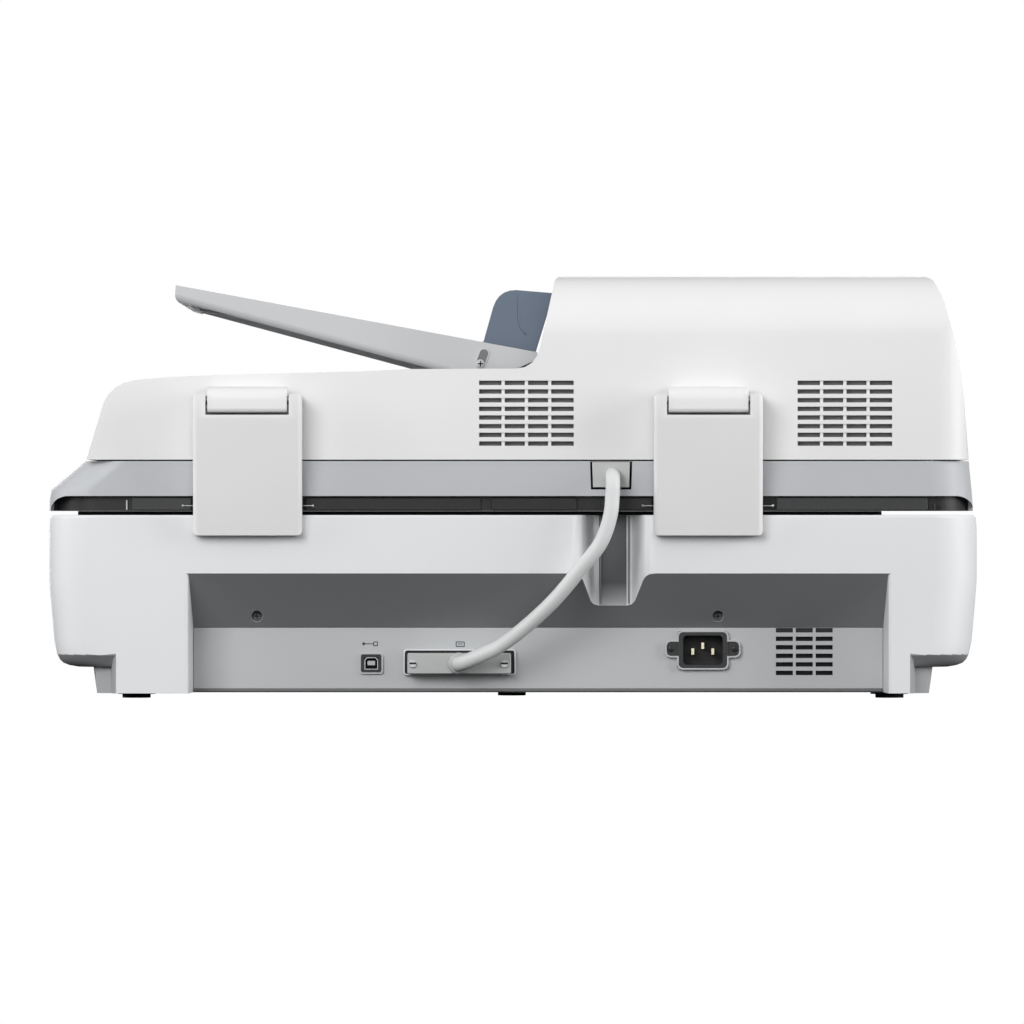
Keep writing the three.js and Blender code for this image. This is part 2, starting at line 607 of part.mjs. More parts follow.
function bandSkin(inset, bottom, top) {
  const rings = BAND_SIDES.map(([height, left, right]) => ({
    z: Math.min(Math.max(height, bottom), top),
    left: left + inset,
    right: right - inset,
    front: LID_FRONT + inset,
    rear: LID_REAR - inset,
    radius: PLAN_RADIUS - inset,
  }));
  return loft(rings.filter((ring, i) => i === 0 || ring.z > rings[i - 1].z));
}

const ARCH_TOP = 139.7;

function baseFrame() {
  const cavity = bandSkin(DECK, BAND_BOTTOM - 1, BAND_TOP - DECK);
  const mouth = alongZ(roundedShape(-313, 315, LID_FRONT + DECK, LID_REAR - DECK, 26), 128, 132);
  const arch = new THREE.Shape();
  arch.moveTo(318.6, 128);
  arch.absellipse(305.8, BAND_BOTTOM, 13, ARCH_TOP - BAND_BOTTOM, 0, Math.PI / 2);
  arch.absellipse(-304.8, BAND_BOTTOM, 13, ARCH_TOP - BAND_BOTTOM, Math.PI / 2, Math.PI);
  arch.lineTo(-317.8, 128);
  const rearArch = alongY(arch, 176, 215, 6);
  const pocketShape = shapeOf([[-81.3, 144.2], [-53.6, 144.2], [-53, 163.4], [-81.9, 163.4]]);
  const clampPocket = alongY(pocketShape, 195, 215);
  const pathOpening = block(-298, -112, -182, 158, 155, 170);
  return cutBy(bandSkin(0, BAND_BOTTOM, BAND_TOP), cavity, mouth, rearArch, clampPocket, pathOpening);
}

function underframe() {
  const plate = alongZ(roundedShape(-312, 313, -200, 205, 26), 136.4, 138.4);
  const rim = cutBy(alongZ(roundedShape(-312, 313, -200, 205, 26), 129.4, 141),
    alongZ(roundedShape(-309.4, 310.4, -197.4, 202.4, 23.4), 129, 142));
  const ribs = [];
  for (let x = -280; x <= 280; x += 70) {
    ribs.push(block(x - 1.5, x + 1.5, -198, 199, 138, 146));
  }
  const lugs = [[-181, -177.4], [157.4, 161]].map(([y0, y1]) => block(-276, -248, y0, y1, 136, 159.6));
  const opening = block(-286, -217, -177.2, 157.2, 125, 150);
  const shaft = bar("y", TRANSPORT_AXIS.x, TRANSPORT_AXIS.z, SHAFT_RADIUS + FREE_PLAY, -185, 165, 14);
  return cutBy(joined(cutBy(joined(plate, rim, ...ribs), opening), ...lugs), shaft);
}

// The outline of the feeder seen from behind: low towards the trays, high over the rollers.
function feederOutline(inset, bottom) {
  const fillet = 18;
  const shape = new THREE.Shape();
  shape.moveTo(293.2 - inset, bottom);
  shape.lineTo(284.9 - inset, 192.4);
  shape.lineTo(281.2 - inset, 204.5);
  shape.quadraticCurveTo(275 - inset, 217 - inset, 261 - inset, 219.2 - inset);
  shape.lineTo(245, 220.8 - inset);
  shape.lineTo(215, 222.5 - inset);
  shape.lineTo(104, 225.4 - inset);
  shape.lineTo(70, 227 - inset);
  shape.lineTo(-2 - inset, 227.3 - inset);
  shape.quadraticCurveTo(-2 - fillet + 4 - inset, 227.3 - inset, -19 - inset, 244 - inset);
  shape.lineTo(-28.8 - inset, 288.5 - inset);
  shape.lineTo(-31.2 - inset, FEEDER_TOP - inset);
  shape.lineTo(-284.9 + inset, FEEDER_TOP - inset);
  shape.lineTo(-289.8 + inset, 288.6 - inset);
  shape.lineTo(-296 + inset, 275.4 - inset);
  shape.lineTo(-301.8 + inset, 254.7);
  shape.lineTo(-306.4 + inset, 233.9);
  shape.lineTo(-310.4 + inset, 206.2);
  shape.lineTo(-314 + inset, bottom);
  return shape;
}

// The feeder seen from the side: a tall round shoulder at the rear, a smaller one at the front.
function shoulderOutline(inset, front, rear) {
  const rearRadius = 41;
  const frontRadius = 24;
  const shape = new THREE.Shape();
  shape.moveTo(front + inset, 150);
  shape.lineTo(rear - inset, 150);
  shape.absarc(LID_REAR - rearRadius, FEEDER_TOP - rearRadius, rearRadius - inset, 0, Math.PI / 2);
  shape.absarc(front + frontRadius, FEEDER_TOP - frontRadius, frontRadius - inset, Math.PI / 2, Math.PI);
  return shape;
}

function feederPlan(inset, front, radius) {
  return roundedShape(-314.5 + inset, 294.4 + 40, front + inset, LID_REAR - inset, radius);
}

// Each vent is a stack of long slots, crossed by three upright ribs set a little way in.
function ventGrids() {
  const half = 32.5;
  const grids = [-9.2, -228.1].map((centre) => {
    const slots = slotGrid({
      x: centre - half, z: 174.2, columns: 1, rows: 8, pitchX: 0, pitchZ: 5.96,
      width: 2 * half, height: 3.1, y0: 205, y1: 212,
    });
    const ribs = [-16, 0, 16].map((offset) =>
      block(centre + offset - 1.1, centre + offset + 1.1, 204, LID_REAR - 0.7, 170, 222));
    return cutBy(slots, ...ribs);
  });
  return joined(...grids);
}

function feederHousing() {
  const rearBlock = alongY(feederOutline(0, FEEDER_BOTTOM), REAR_BLOCK_FRONT, LID_REAR, 4)
    .intersect(alongX(shoulderOutline(0, -300, LID_REAR), -330, 330, 4))
    .intersect(alongZ(feederPlan(0, -300, 22), 150, 300, 4));
  const rearInside = feederOutline(DECK, FEEDER_BOTTOM + DECK);
  const rearHollow = alongY(rearInside, REAR_BLOCK_FRONT + DECK, LID_REAR - DECK, 4)
    .intersect(alongX(shoulderOutline(DECK, -300, LID_REAR), -330, 330, 4))
    .intersect(alongZ(feederPlan(DECK, -300, 22 - DECK), 150, 300, 4));
  const floorShape = roundedShape(-314.4, 294.2, LID_FRONT, REAR_BLOCK_FRONT + 2, 20);
  const floorPlate = alongZ(floorShape, FEEDER_BOTTOM, FEEDER_BOTTOM + DECK);
  const rimOutside = roundedShape(-314.2, 290, LID_FRONT, REAR_BLOCK_FRONT + 2, 20);
  const rimInside = roundedShape(-311.2, 300, LID_FRONT + DECK, REAR_BLOCK_FRONT + 20, 17);
  const rim = cutBy(
    alongZ(rimOutside, FEEDER_BOTTOM + 1, COVER_BOTTOM - 0.6),
    alongZ(rimInside, FEEDER_BOTTOM, COVER_BOTTOM + 2),
    block(-62, 300, -210, 167, FEEDER_BOTTOM + DECK, 180));
  const cheekShape = shapeOf([[-62, 166], [36, 166], [36, 176], [31.5, 231], [30, 236], [26, 239.6],
    [19, 239.6], [15, 238], [-22, 244], [-62, 244]]);
  const frontCheek = alongY(cheekShape, LID_FRONT, -179);
  const cheekInside = shapeOf([[-58, 160], [32, 160], [28, 228], [16, 234], [-26, 240], [-58, 240]]);
  const frontCheekHollow = alongY(cheekInside, LID_FRONT + DECK, -182);
  const earShape = shapeOf([[13, 202], [32, 202], [32, 231], [30, 236], [26, 239.6], [19, 239.6],
    [15, 236], [13, 231]]);
  const rearEar = alongY(earShape, 144.6, 148.6);
  const earBridge = block(13, 32, 144.6, REAR_BLOCK_FRONT + 1, 202, 216.5);
  const guideSides = [[-178, -175.2], [155.5, 158.2]].map(([y0, y1]) => alongY(
    shapeOf([[-212, 166], [-46, 166], [-46, 226], [-58, 231], [-202, 231], [-212, 224]]), y0, y1));
  const guideTopShape = shapeOf([[-202, 228], [-58, 228], [-47, 223.5], [-46, 226], [-58, 231], [-202, 231]]);
  const guideTop = alongY(guideTopShape, -177, 157);
  const separationWindow = block(-113, -83, -36, 16, 220, 235);
  const guideBrace = block(-212, -209, -177, 157, 166, 226);
  const guide = joined(...guideSides, guideTop, guideBrace);
  const whole = joined(rearBlock, floorPlate, rim, frontCheek, rearEar, earBridge, guide);
  const armSlots = Object.values(HINGE_CENTRES).map((x) => block(x - 25.4, x + 25.4, 205, 212, 206.8, 214.6));
  const pathOpening = block(-298, -209.2, -174.8, 155, 160, 170);
  const exitBore = bar("y", EXIT_AXIS.x, EXIT_AXIS.z, SHAFT_RADIUS + FREE_PLAY, -180, 160, 14);
  const pivotBore = joined(bar("y", TRAY_PIVOT[0], TRAY_PIVOT[2], 4.4, -186, -170, 16),
    bar("y", TRAY_PIVOT[0], TRAY_PIVOT[2], 4.4, 140, 152, 16));
  return cutBy(whole, rearHollow, frontCheekHollow, guideTopCut(), separationWindow, ventGrids(), ...armSlots,
    pathOpening, exitBore, pivotBore);
}

// The paper guide is open at the bottom of its rear brace, where sheets come back from the glass.
function guideTopCut() {
  return block(-215, -205, -170, 150, 168, 200);
}

function outputTray() {
  const bed = shapeOf([[-43.5, 168], [287.4, 168], [285, 193], [281, 196], [200, 196], [-43.5, 174.5]]);
  const outer = alongY(bed, -174.6, 155);
  const apron = alongY(shapeOf([[38, 168], [288.5, 168], [286, 196], [281, 200], [190, 200], [38, 181]]),
    LID_FRONT + 1, -174);
  const bedInside = shapeOf([[-38, 167], [283, 167], [281, 190], [278, 192], [200, 192], [-38, 171]]);
  const hollow = alongY(bedInside, -171, 151);
  const apronInside = shapeOf([[42, 167], [285, 167], [282, 193], [278, 196.4], [190, 196.4], [42, 177.8]]);
  const apronHollow = alongY(apronInside, LID_FRONT + 4, -174.5);
  const pocket = block(222, 266, -46, 26, 192.6, 197);
  const pocketFloor = block(220, 268, -49, 29, 189.6, 193);
  return cutBy(joined(cutBy(outer, hollow), cutBy(apron, apronHollow), pocketFloor), pocket);
}

function outputStopper() {
  return joined(block(224, 259, -44, 24, 193, 195.6), bar("y", 262, 194.6, 1.6, -44, 24, 12),
    block(258, 262, -44, 24, 193.4, 195.6));
}

function roller(axis, radius, from, to, shaftFrom, shaftTo) {
  return joined(bar("y", axis.x, axis.z, radius, from, to, 20),
    bar("y", axis.x, axis.z, SHAFT_RADIUS, shaftFrom, shaftTo, 12));
}

function feederCover() {
  const silhouette = feederOutline(0, COVER_BOTTOM);
  const outer = alongY(silhouette, COVER_FRONT, REAR_BLOCK_FRONT - 0.5, 4)
    .intersect(alongX(shoulderOutline(0, COVER_FRONT, LID_REAR), -330, 0, 4))
    .intersect(alongZ(feederPlan(0, COVER_FRONT, 20), 150, 300, 4));
  const inner = alongY(feederOutline(DECK, COVER_BOTTOM - 5), COVER_FRONT + DECK, REAR_BLOCK_FRONT - 3.5, 4)
    .intersect(alongX(shoulderOutline(DECK, COVER_FRONT, LID_REAR), -330, 0, 4))
    .intersect(alongZ(feederPlan(DECK, COVER_FRONT, 17), 150, 300, 4));
  const below = block(-62.4, 300, -210, 170, 160, 250);
  const mouth = block(-45, 0, -178, 160, 240, 300);
  const latchWell = block(-76, -46, -32, 12, 284, 300);
  const wellFloor = block(-79, -45, -35, 15, 281, 290);
  const hangerOutline = [
    [-112, 290], [-110, 246], [-106, 238], [-98, 234.5], [-90, 238], [-86, 246], [-84, 290],
  ];
  const hangers = [[-68, -62], [42, 48]].map(([y0, y1]) => alongY(shapeOf(hangerOutline), y0, y1));
  const bore = bar("y", FEED_AXIS.x, FEED_AXIS.z, SHAFT_RADIUS + FREE_PLAY, -66.5, 46.5, 14);
  const shell = joined(cutBy(outer, inner, below), wellFloor.intersect(outer), ...hangers);
  return cutBy(shell, mouth, latchWell, bore);
}

function coverLatch() {
  return joined(bar("y", -72, 287, 1.6, -30, 10, 12), block(-72, -52, -30, 10, 286.4, 289.6),
    block(-58, -49, -24, 4, 287.8, 290.6));
}

function pickupArm() {
  const outline = shapeOf([[-105, 243], [-101, 239.5], [-95, 239.5], [-62, 252.5], [-60, 258], [-62, 263],
    [-68, 265], [-79, 264.5], [-91, 261], [-102, 253], [-105, 249]]);
  const sides = [[-58, -55], [35, 38]].map(([y0, y1]) => alongY(outline, y0, y1));
  const bridge = alongY(shapeOf([[-91, 257.5], [-79, 261], [-79, 264.5], [-91, 261]]), -58, 38);
  const bores = [FEED_AXIS, PICKUP_AXIS].map(
    ({ x, z }) => bar("y", x, z, SHAFT_RADIUS + FREE_PLAY, -60, 40, 14));
  return cutBy(joined(...sides, bridge), ...bores);
}

function feederMotor() {
  return joined(bar("y", -160, 246, 18, 176, 203, 20), bar("y", -160, 246, 6, 172, 177, 12));
}

function buildLid() {
  addPart("adf_base_frame", baseFrame(), GREY_BAND);
  addPart("adf_underframe", underframe(), DARK);
  addPart("document_mat", block(-212, 216, -158, 135, 129.6, 134.7), [0xf2f2f2, 0.8]);
  addPart("adf_housing", feederHousing(), FEEDER_WHITE);
  addPart("output_tray", outputTray(), [0xd2d3d5, 0.5]);
  addPart("output_stopper", outputStopper(), [0x6f7d8e, 0.5]);
  addPart("cable_clamp", leadClamp(), [0xb0b1b0, 0.55]);
  addPart("adf_cable", feederLead(), [0xcccac9, 0.5]);
  addPart("adf_motor", feederMotor(), METAL);
  addPart("transport_roller", roller(TRANSPORT_AXIS, 12, -165, 145, -180.6, 160.6), RUBBER);
  addPart("exit_roller", roller(EXIT_AXIS, 9, -120, 100, -177.6, 157.8), RUBBER);
  addPart("separation_roller", roller(SEPARATION_AXIS, 11.6, -30, 10, -34, 14), RUBBER);
  addPart("reading_unit", block(-208, -178, -165, 145, 142, 159), DARK);
  addPart("adf_cover", feederCover(), FEEDER_WHITE);
  addPart("cover_latch", coverLatch(), [0x6f7d8e, 0.5]);
  addPart("feed_roller", roller(FEED_AXIS, 12, -40, 20, -66, 46), RUBBER);
  addPart("pickup_arm", pickupArm(), DARK);
  addPart("pickup_roller", roller(PICKUP_AXIS, 9, -40, 20, -57.6, 37.6), RUBBER);
}

// ---------------------------------------------------------------- input tray, in its own sloping frame
// Local x runs up the slope from the pivot, local z is square to the paper.
const PINION = { x: -10, y: PAPER_CENTRE, radius: 7.7 };
const RACK = { bottom: 7, top: 11.4, halfWidth: 2 };
const REAR_RACK_X = 0;
const FRONT_RACK_X = -20;
const GUIDE_TRAVEL = 95;

// The tray's underside rises from the pivot end to the tip, and its two long lower edges are round.
const SKIRT = { roundFrom: 20, start: 50, low: -8.9, end: 205, high: 3.2, radius: 6 };

function traySection() {
  const { roundFrom, start, low, end, high, radius } = SKIRT;
  const rise = (high - low) / (end - start);
  const shear = new THREE.Matrix4().set(1, 0, 0, 0, 0, 1, 0, 0, rise, 0, 1, -rise * start, 0, 0, 0, 1);
  const round = moved(alongX(roundedShape(TRAY_FRONT, TRAY_REAR, low, 60, radius), roundFrom, 230, 4), shear);
  return joined(round, block(-60, roundFrom + 0.01, TRAY_FRONT, TRAY_REAR, -30, 40));
}

function trayOutline() {
  const shape = new THREE.Shape();
  shape.moveTo(-37.3, 10);
  shape.lineTo(-20, -2);
  shape.absarc(0, 0, 11, Math.PI * 1.1, Math.PI * 1.5);
  shape.lineTo(SKIRT.start, SKIRT.low);
  shape.lineTo(SKIRT.end, SKIRT.high);
  shape.absarc(210.9, TRAY_TOP - 6, 6, -Math.PI * 0.46, 0);
  shape.lineTo(217.6, TRAY_TOP);
  shape.lineTo(-37.3, TRAY_TOP);
  return shape;
}

function inputTray() {
  const slab = alongY(trayOutline(), TRAY_FRONT, TRAY_REAR, 4).intersect(traySection());
  const hollow = block(-33, 206, TRAY_FRONT + DECK, TRAY_REAR - DECK, -20, TRAY_TOP - DECK);
  const endSlot = block(200, 220, -100, 80, 5.4, 12.2);
  const slots = [
    block(REAR_RACK_X - 2.3, REAR_RACK_X + 2.3, 138 - GUIDE_TRAVEL - 8, 143, 10, 18),
    block(FRONT_RACK_X - 2.3, FRONT_RACK_X + 2.3, -163, -158 + GUIDE_TRAVEL + 8, 10, 18),
  ];
  const runners = [[-106, -99, -90], [88, 79, 70]].flatMap(([outer, inner, edge]) => [
    block(60, 206.5, Math.min(outer, inner), Math.max(outer, inner), 4.3, 13),
    block(60, 206.5, Math.min(outer, edge), Math.max(outer, edge), 4.3, 5.6),
  ]);
  const axle = bar("z", PINION.x, PINION.y, 1.9, RACK.bottom - 0.4, 13, 12);
  const pivots = [[145.6, TRAY_REAR - 1], [-183.6, TRAY_FRONT + 1]].map(
    ([y0, y1]) => bar("y", 0, 0, 4, y0, y1, 16));
  return joined(cutBy(slab, hollow, endSlot, ...slots), ...runners, axle, ...pivots);
}

function trayExtension() {
  return joined(block(64, 207, -98.6, 78.6, 6, 9), block(206, 213, -98.6, 78.6, 5.8, 11.8));
}

function guideOutline() {
  const shape = new THREE.Shape();
  shape.moveTo(1, 15.8);
  shape.lineTo(-1.3, 41);
  shape.quadraticCurveTo(-3, 53.5, -15, 55.4);
  shape.lineTo(-40.2, 57.9);
  shape.lineTo(-35.4, 15.8);
  return shape;
}

// face is the side that touches the paper; outward is +1 for the rear guide and -1 for the front one.
function edgeGuide(face, outward, rackX) {
  const between = (a, b) => [Math.min(a, b), Math.max(a, b)];
  const wall = alongY(guideOutline(), ...between(face, face + outward * 4.4), 5);
  const sole = block(-34, 0.6, ...between(face - outward * 26, face + outward * 4.4), 15.8, 17.6);
  const stem = block(rackX - 1.8, rackX + 1.8, ...between(face - outward * 6, face + outward * 3),
    RACK.top - 1, 16);
  const rackEnd = PAPER_CENTRE - outward * 16;
  const rack = block(rackX - RACK.halfWidth, rackX + RACK.halfWidth, ...between(rackEnd, face + outward * 3),
    RACK.bottom, RACK.top);
  return joined(wall, sole, stem, rack);
}

function buildTray() {
  const tray = new THREE.Group();
  tray.position.set(...TRAY_PIVOT);
  tray.rotation.y = THREE.MathUtils.degToRad(-TRAY_TILT);
  scanner.add(tray);
  const guideColour = [0x6d7b8c, 0.5];
  addPart("input_tray", inputTray(), [0xc8c9cb, 0.5], tray);
  addPart("tray_extension", trayExtension(), [0xc8c9cb, 0.5], tray);
  addPart("edge_guide_rear", edgeGuide(138.5, 1, REAR_RACK_X), guideColour, tray);
  addPart("edge_guide_front", edgeGuide(-158.5, -1, FRONT_RACK_X), guideColour, tray);
  const pinion = cutBy(bar("z", PINION.x, PINION.y, PINION.radius, RACK.bottom, RACK.top, 24),
    bar("z", PINION.x, PINION.y, 2.3, 0, 14, 12));
  addPart("guide_pinion", pinion, [0xd8d4c4, 0.5], tray);
}

buildBase();
buildControls();
buildLid();
buildTray();

export default scanner;
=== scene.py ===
# Looks for the A3 scanner with its document feeder: finishes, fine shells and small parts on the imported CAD.
import bpy
import bmesh
import json
import math
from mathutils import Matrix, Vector


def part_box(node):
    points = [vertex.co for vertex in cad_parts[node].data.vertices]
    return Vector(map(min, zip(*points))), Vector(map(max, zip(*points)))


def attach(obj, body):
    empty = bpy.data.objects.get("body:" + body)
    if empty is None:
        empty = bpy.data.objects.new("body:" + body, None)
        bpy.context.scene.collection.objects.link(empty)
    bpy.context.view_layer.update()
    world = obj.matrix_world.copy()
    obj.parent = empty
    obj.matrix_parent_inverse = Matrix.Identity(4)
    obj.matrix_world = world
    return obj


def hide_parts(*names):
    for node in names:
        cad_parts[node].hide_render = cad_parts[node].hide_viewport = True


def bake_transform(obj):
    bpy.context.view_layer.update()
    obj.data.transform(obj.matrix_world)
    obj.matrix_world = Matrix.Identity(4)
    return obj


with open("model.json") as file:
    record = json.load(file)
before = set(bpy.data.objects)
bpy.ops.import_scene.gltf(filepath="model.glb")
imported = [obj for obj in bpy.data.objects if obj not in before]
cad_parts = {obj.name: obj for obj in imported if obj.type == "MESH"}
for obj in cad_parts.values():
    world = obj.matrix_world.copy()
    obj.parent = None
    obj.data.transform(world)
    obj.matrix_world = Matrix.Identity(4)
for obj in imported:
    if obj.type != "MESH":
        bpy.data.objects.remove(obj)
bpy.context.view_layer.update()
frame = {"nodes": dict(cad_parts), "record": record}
NODES = frame["nodes"]
MM = 0.001

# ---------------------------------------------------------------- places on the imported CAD, in metres
REAR_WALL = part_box("base_housing")[1].y
LID_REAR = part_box("adf_housing")[1].y
PANEL_LOW, PANEL_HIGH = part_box("rear_io_panel")
PANEL_FACE = PANEL_HIGH.y / MM      # in mm, as the small parts on the panel are
GROOVE_FLOOR = 0.187                # Y of the floor of the lead's groove
WING_INNER = 0.262                  # how far out the undersides of the base's wings start
PLINTH_STEP = 0.272                 # how far out the sides of the plinth between the wings stand
WING_LOW = 0.0305                   # top of the rounding under the wings


# ---------------------------------------------------------------- camera
CAMERA_DISTANCE = 7.0
CAMERA_ASIDE, CAMERA_HEIGHT = 0.0007, 0.1287
SEEN_WIDTH = 0.7036                 # the view's width at the rear wall
SENSOR_WIDTH = 36


def make_camera():
    """A long lens straight behind the scanner, a little below its middle."""
    data = bpy.data.cameras.new("photo_camera")
    camera = bpy.data.objects.new("photo_camera", data)
    bpy.context.scene.collection.objects.link(camera)
    camera.location = (CAMERA_ASIDE, REAR_WALL + CAMERA_DISTANCE, CAMERA_HEIGHT)
    camera.rotation_euler = (math.radians(90), 0, math.radians(180))
    data.sensor_width = SENSOR_WIDTH
    data.lens = SENSOR_WIDTH * CAMERA_DISTANCE / SEEN_WIDTH
    data.clip_end = 50
    bpy.context.scene.camera = camera


# ---------------------------------------------------------------- curves and tubes
def smooth_route(points, steps):
    """Points on a Catmull-Rom curve through the given ones."""
    ends = [points[0] * 2 - points[1], *points, points[-1] * 2 - points[-2]]
    route = []
    for i in range(1, len(ends) - 2):
        a, b, c, d = ends[i - 1:i + 3]
        for k in range(steps):
            t = k / steps
            route.append(0.5 * (2 * b + (c - a) * t + (2 * a - 5 * b + 4 * c - d) * t * t
                                + (3 * b - a - 3 * c + d) * t * t * t))
    return route + [points[-1]]


def bezier(start, bend, end, steps):
    """Points on a quadratic curve from start to end, without the end itself."""
    shares = [k / steps for k in range(steps)]
    return [start * (1 - t) ** 2 + bend * 2 * t * (1 - t) + end * t * t for t in shares]


def new_object(name, bm, smooth=True):
    """Makes an object of a bmesh, which it uses up."""
    bmesh.ops.recalc_face_normals(bm, faces=bm.faces)
    mesh = bpy.data.meshes.new(name)
    bm.to_mesh(mesh)
    bm.free()
    if smooth:
        mesh.shade_smooth()
    obj = bpy.data.objects.new(name, mesh)
    bpy.context.scene.collection.objects.link(obj)
    return obj


def tube(name, route, radius_at, around=20):
    """A closed tube along a route; radius_at gives its radius from the share of the route."""
    bm = bmesh.new()
    rings = []
    side = Vector((0, 0, 1))
    for i, point in enumerate(route):
        ahead = route[min(i + 1, len(route) - 1)] - route[max(i - 1, 0)]
        ahead.normalize()
        side = (side - ahead * side.dot(ahead)).normalized()
        across = ahead.cross(side)
        radius = radius_at(i / (len(route) - 1))
        rings.append([bm.verts.new(point + radius * (math.cos(a) * side + math.sin(a) * across))
                      for a in (2 * math.pi * k / around for k in range(around))])
    for low, high in zip(rings, rings[1:]):
        for k in range(around):
            bm.faces.new((low[k], low[(k + 1) % around], high[(k + 1) % around], high[k]))
    bm.faces.new(rings[0][::-1])
    bm.faces.new(rings[-1])
    return new_object(name, bm)


# ---------------------------------------------------------------- the feeder's lead
LEAD_RADIUS = 0.005
LEAD_SWELL = 0.0006                 # what the radius gains over the last stretch, into the plug
SWELL_FROM = 0.8                    # share of the route where it starts to gain
BEND_STEPS = 8
CLAMP_BEND = [Vector(p) * MM for p in ((-68.5, 208, 154.2), (-68.5, 226, 155.6), (-68.5, 226, 145))]
PLUG_BEND = [Vector(p) * MM for p in ((18, 200, 32), (37.6, 196.6, 22.8), (37.6, 187, 24.4))]
LEAD_ROUTE = [Vector(p) * MM for p in (
    (-68.5, 226, 145), (-66.8, 227, 126.6), (-60.2, 226, 107.8), (-47.5, 222.5, 91.2),
    (-28.2, 215.5, 68.1), (-7.5, 207, 48.8), (8, 201.5, 37.2), (18, 200, 32))]


def lead_radius(share):
    """The lead's radius at a share of its route, counted from the clamp."""
    return LEAD_RADIUS + LEAD_SWELL * max(0, share - SWELL_FROM) / (1 - SWELL_FROM)


def make_lead():
    """The lead from the clamp on the lid to the plug in the base, with an elbow at each end."""
    middle = smooth_route(LEAD_ROUTE, BEND_STEPS)[:-1]
    route = bezier(*CLAMP_BEND, BEND_STEPS) + middle + bezier(*PLUG_BEND, BEND_STEPS) + [PLUG_BEND[2]]
    lead = tube("feeder_lead", route, lead_radius)
    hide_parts("adf_cable")
    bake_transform(lead)
    return lead


make_camera()
lead = make_lead()


# ---------------------------------------------------------------- shader nodes
FINISH = {}


def shader(name):
    """Starts the finish of that name and returns its node tree and its surface."""
    material = bpy.data.materials.new(name)
    material.use_nodes = True
    FINISH[name] = material
    return material.node_tree, material.node_tree.nodes["Principled BSDF"]


def linear(value):
    """A display value of 0 to 1 as linear light."""
    return value / 12.92 if value <= 0.04045 else ((value + 0.055) / 1.055) ** 2.4


def colour(red, green, blue):
    """A shader colour from display values of 0 to 255."""
    return (linear(red / 255), linear(green / 255), linear(blue / 255), 1)


def grey(light):
    """A shader colour of even grey, in linear light."""
    return (light, light, light, 1)


def scaled(base, factor):
    """A lighter or darker colour."""
    return tuple(min(1, c * factor) for c in base[:3]) + (1,)


def object_coordinates(tree, scale):
    """Coordinates in the object's own metres, times scale, which is one number or one for each axis."""
    place = tree.nodes.new("ShaderNodeTexCoord")
    mapping = tree.nodes.new("ShaderNodeMapping")
    mapping.inputs["Scale"].default_value = scale if hasattr(scale, "__len__") else (scale,) * 3
    tree.links.new(place.outputs["Object"], mapping.inputs["Vector"])
    return mapping.outputs["Vector"]


def noise(tree, scale, detail, roughness=0.5):
    """Cloudy noise from 0 to 1; scale is in clouds per metre."""
    texture = tree.nodes.new("ShaderNodeTexNoise")
    texture.inputs["Scale"].default_value = 1
    texture.inputs["Detail"].default_value = detail
    texture.inputs["Roughness"].default_value = roughness
    tree.links.new(object_coordinates(tree, scale), texture.inputs["Vector"])
    return texture.outputs["Fac"]


def spread(tree, source, low, high):
    """A value of 0 to 1 spread from low to high."""
    ramp = tree.nodes.new("ShaderNodeMapRange")
    ramp.inputs["To Min"].default_value = low
    ramp.inputs["To Max"].default_value = high
    tree.links.new(source, ramp.inputs["Value"])
    return ramp.outputs["Result"]


def mixed(tree, factor, first, second):
    """The first colour at a factor of 0, the second at 1."""
    mix = tree.nodes.new("ShaderNodeMix")
    mix.data_type = "RGBA"
    mix.inputs["A"].default_value = first
    mix.inputs["B"].default_value = second
    tree.links.new(factor, mix.inputs["Factor"])
    return mix.outputs["Result"]


def bump(tree, height, strength, distance):
    """A normal that follows a height, which rises by distance in metres."""
    node = tree.nodes.new("ShaderNodeBump")
    node.inputs["Strength"].default_value = strength
    node.inputs["Distance"].default_value = distance
    tree.links.new(height, node.inputs["Height"])
    return node.outputs["Normal"]


# ---------------------------------------------------------------- finishes
def moulded(name, base, roughness=0.5, grain=0.9, mottle=0.04):
    """Moulded plastic: a fine spark-eroded grain, a little gloss variation and faint flow mottling."""
    tree, surface = shader(name)
    flow = noise(tree, scale=9, detail=4)
    gloss = noise(tree, scale=60, detail=4)
    speckle = noise(tree, scale=2200, detail=2)
    tint = mixed(tree, flow, scaled(base, 1 - mottle), scaled(base, 1 + mottle))
    tree.links.new(tint, surface.inputs["Base Color"])
    tree.links.new(spread(tree, gloss, roughness - 0.05, roughness + 0.07), surface.inputs["Roughness"])
    tree.links.new(bump(tree, speckle, strength=0.16 * grain, distance=0.00012), surface.inputs["Normal"])
    surface.inputs["Specular IOR Level"].default_value = 0.42


def painted_shade_fade(name, below, above, start, end):
    """Painted shade: a plastic grey that goes from one value to another between two heights."""
    tree, surface = shader(name)
    place = tree.nodes.new("ShaderNodeNewGeometry")
    height = tree.nodes.new("ShaderNodeSeparateXYZ")
    tree.links.new(place.outputs["Position"], height.inputs["Vector"])
    share = tree.nodes.new("ShaderNodeMapRange")
    share.inputs["From Min"].default_value = start
    share.inputs["From Max"].default_value = end
    tree.links.new(height.outputs["Z"], share.inputs["Value"])
    tree.links.new(mixed(tree, share.outputs["Result"], below, above), surface.inputs["Base Color"])
    surface.inputs["Roughness"].default_value = 0.6


def glossy(name, base, roughness=0.16):
    """Polished plastic with faint handling haze."""
    tree, surface = shader(name)
    haze = noise(tree, scale=40, detail=5)
    tree.links.new(mixed(tree, haze, scaled(base, 0.95), scaled(base, 1.05)), surface.inputs["Base Color"])
    tree.links.new(spread(tree, haze, roughness - 0.05, roughness + 0.1), surface.inputs["Roughness"])
    surface.inputs["Coat Weight"].default_value = 0.3
    surface.inputs["Coat Roughness"].default_value = 0.1


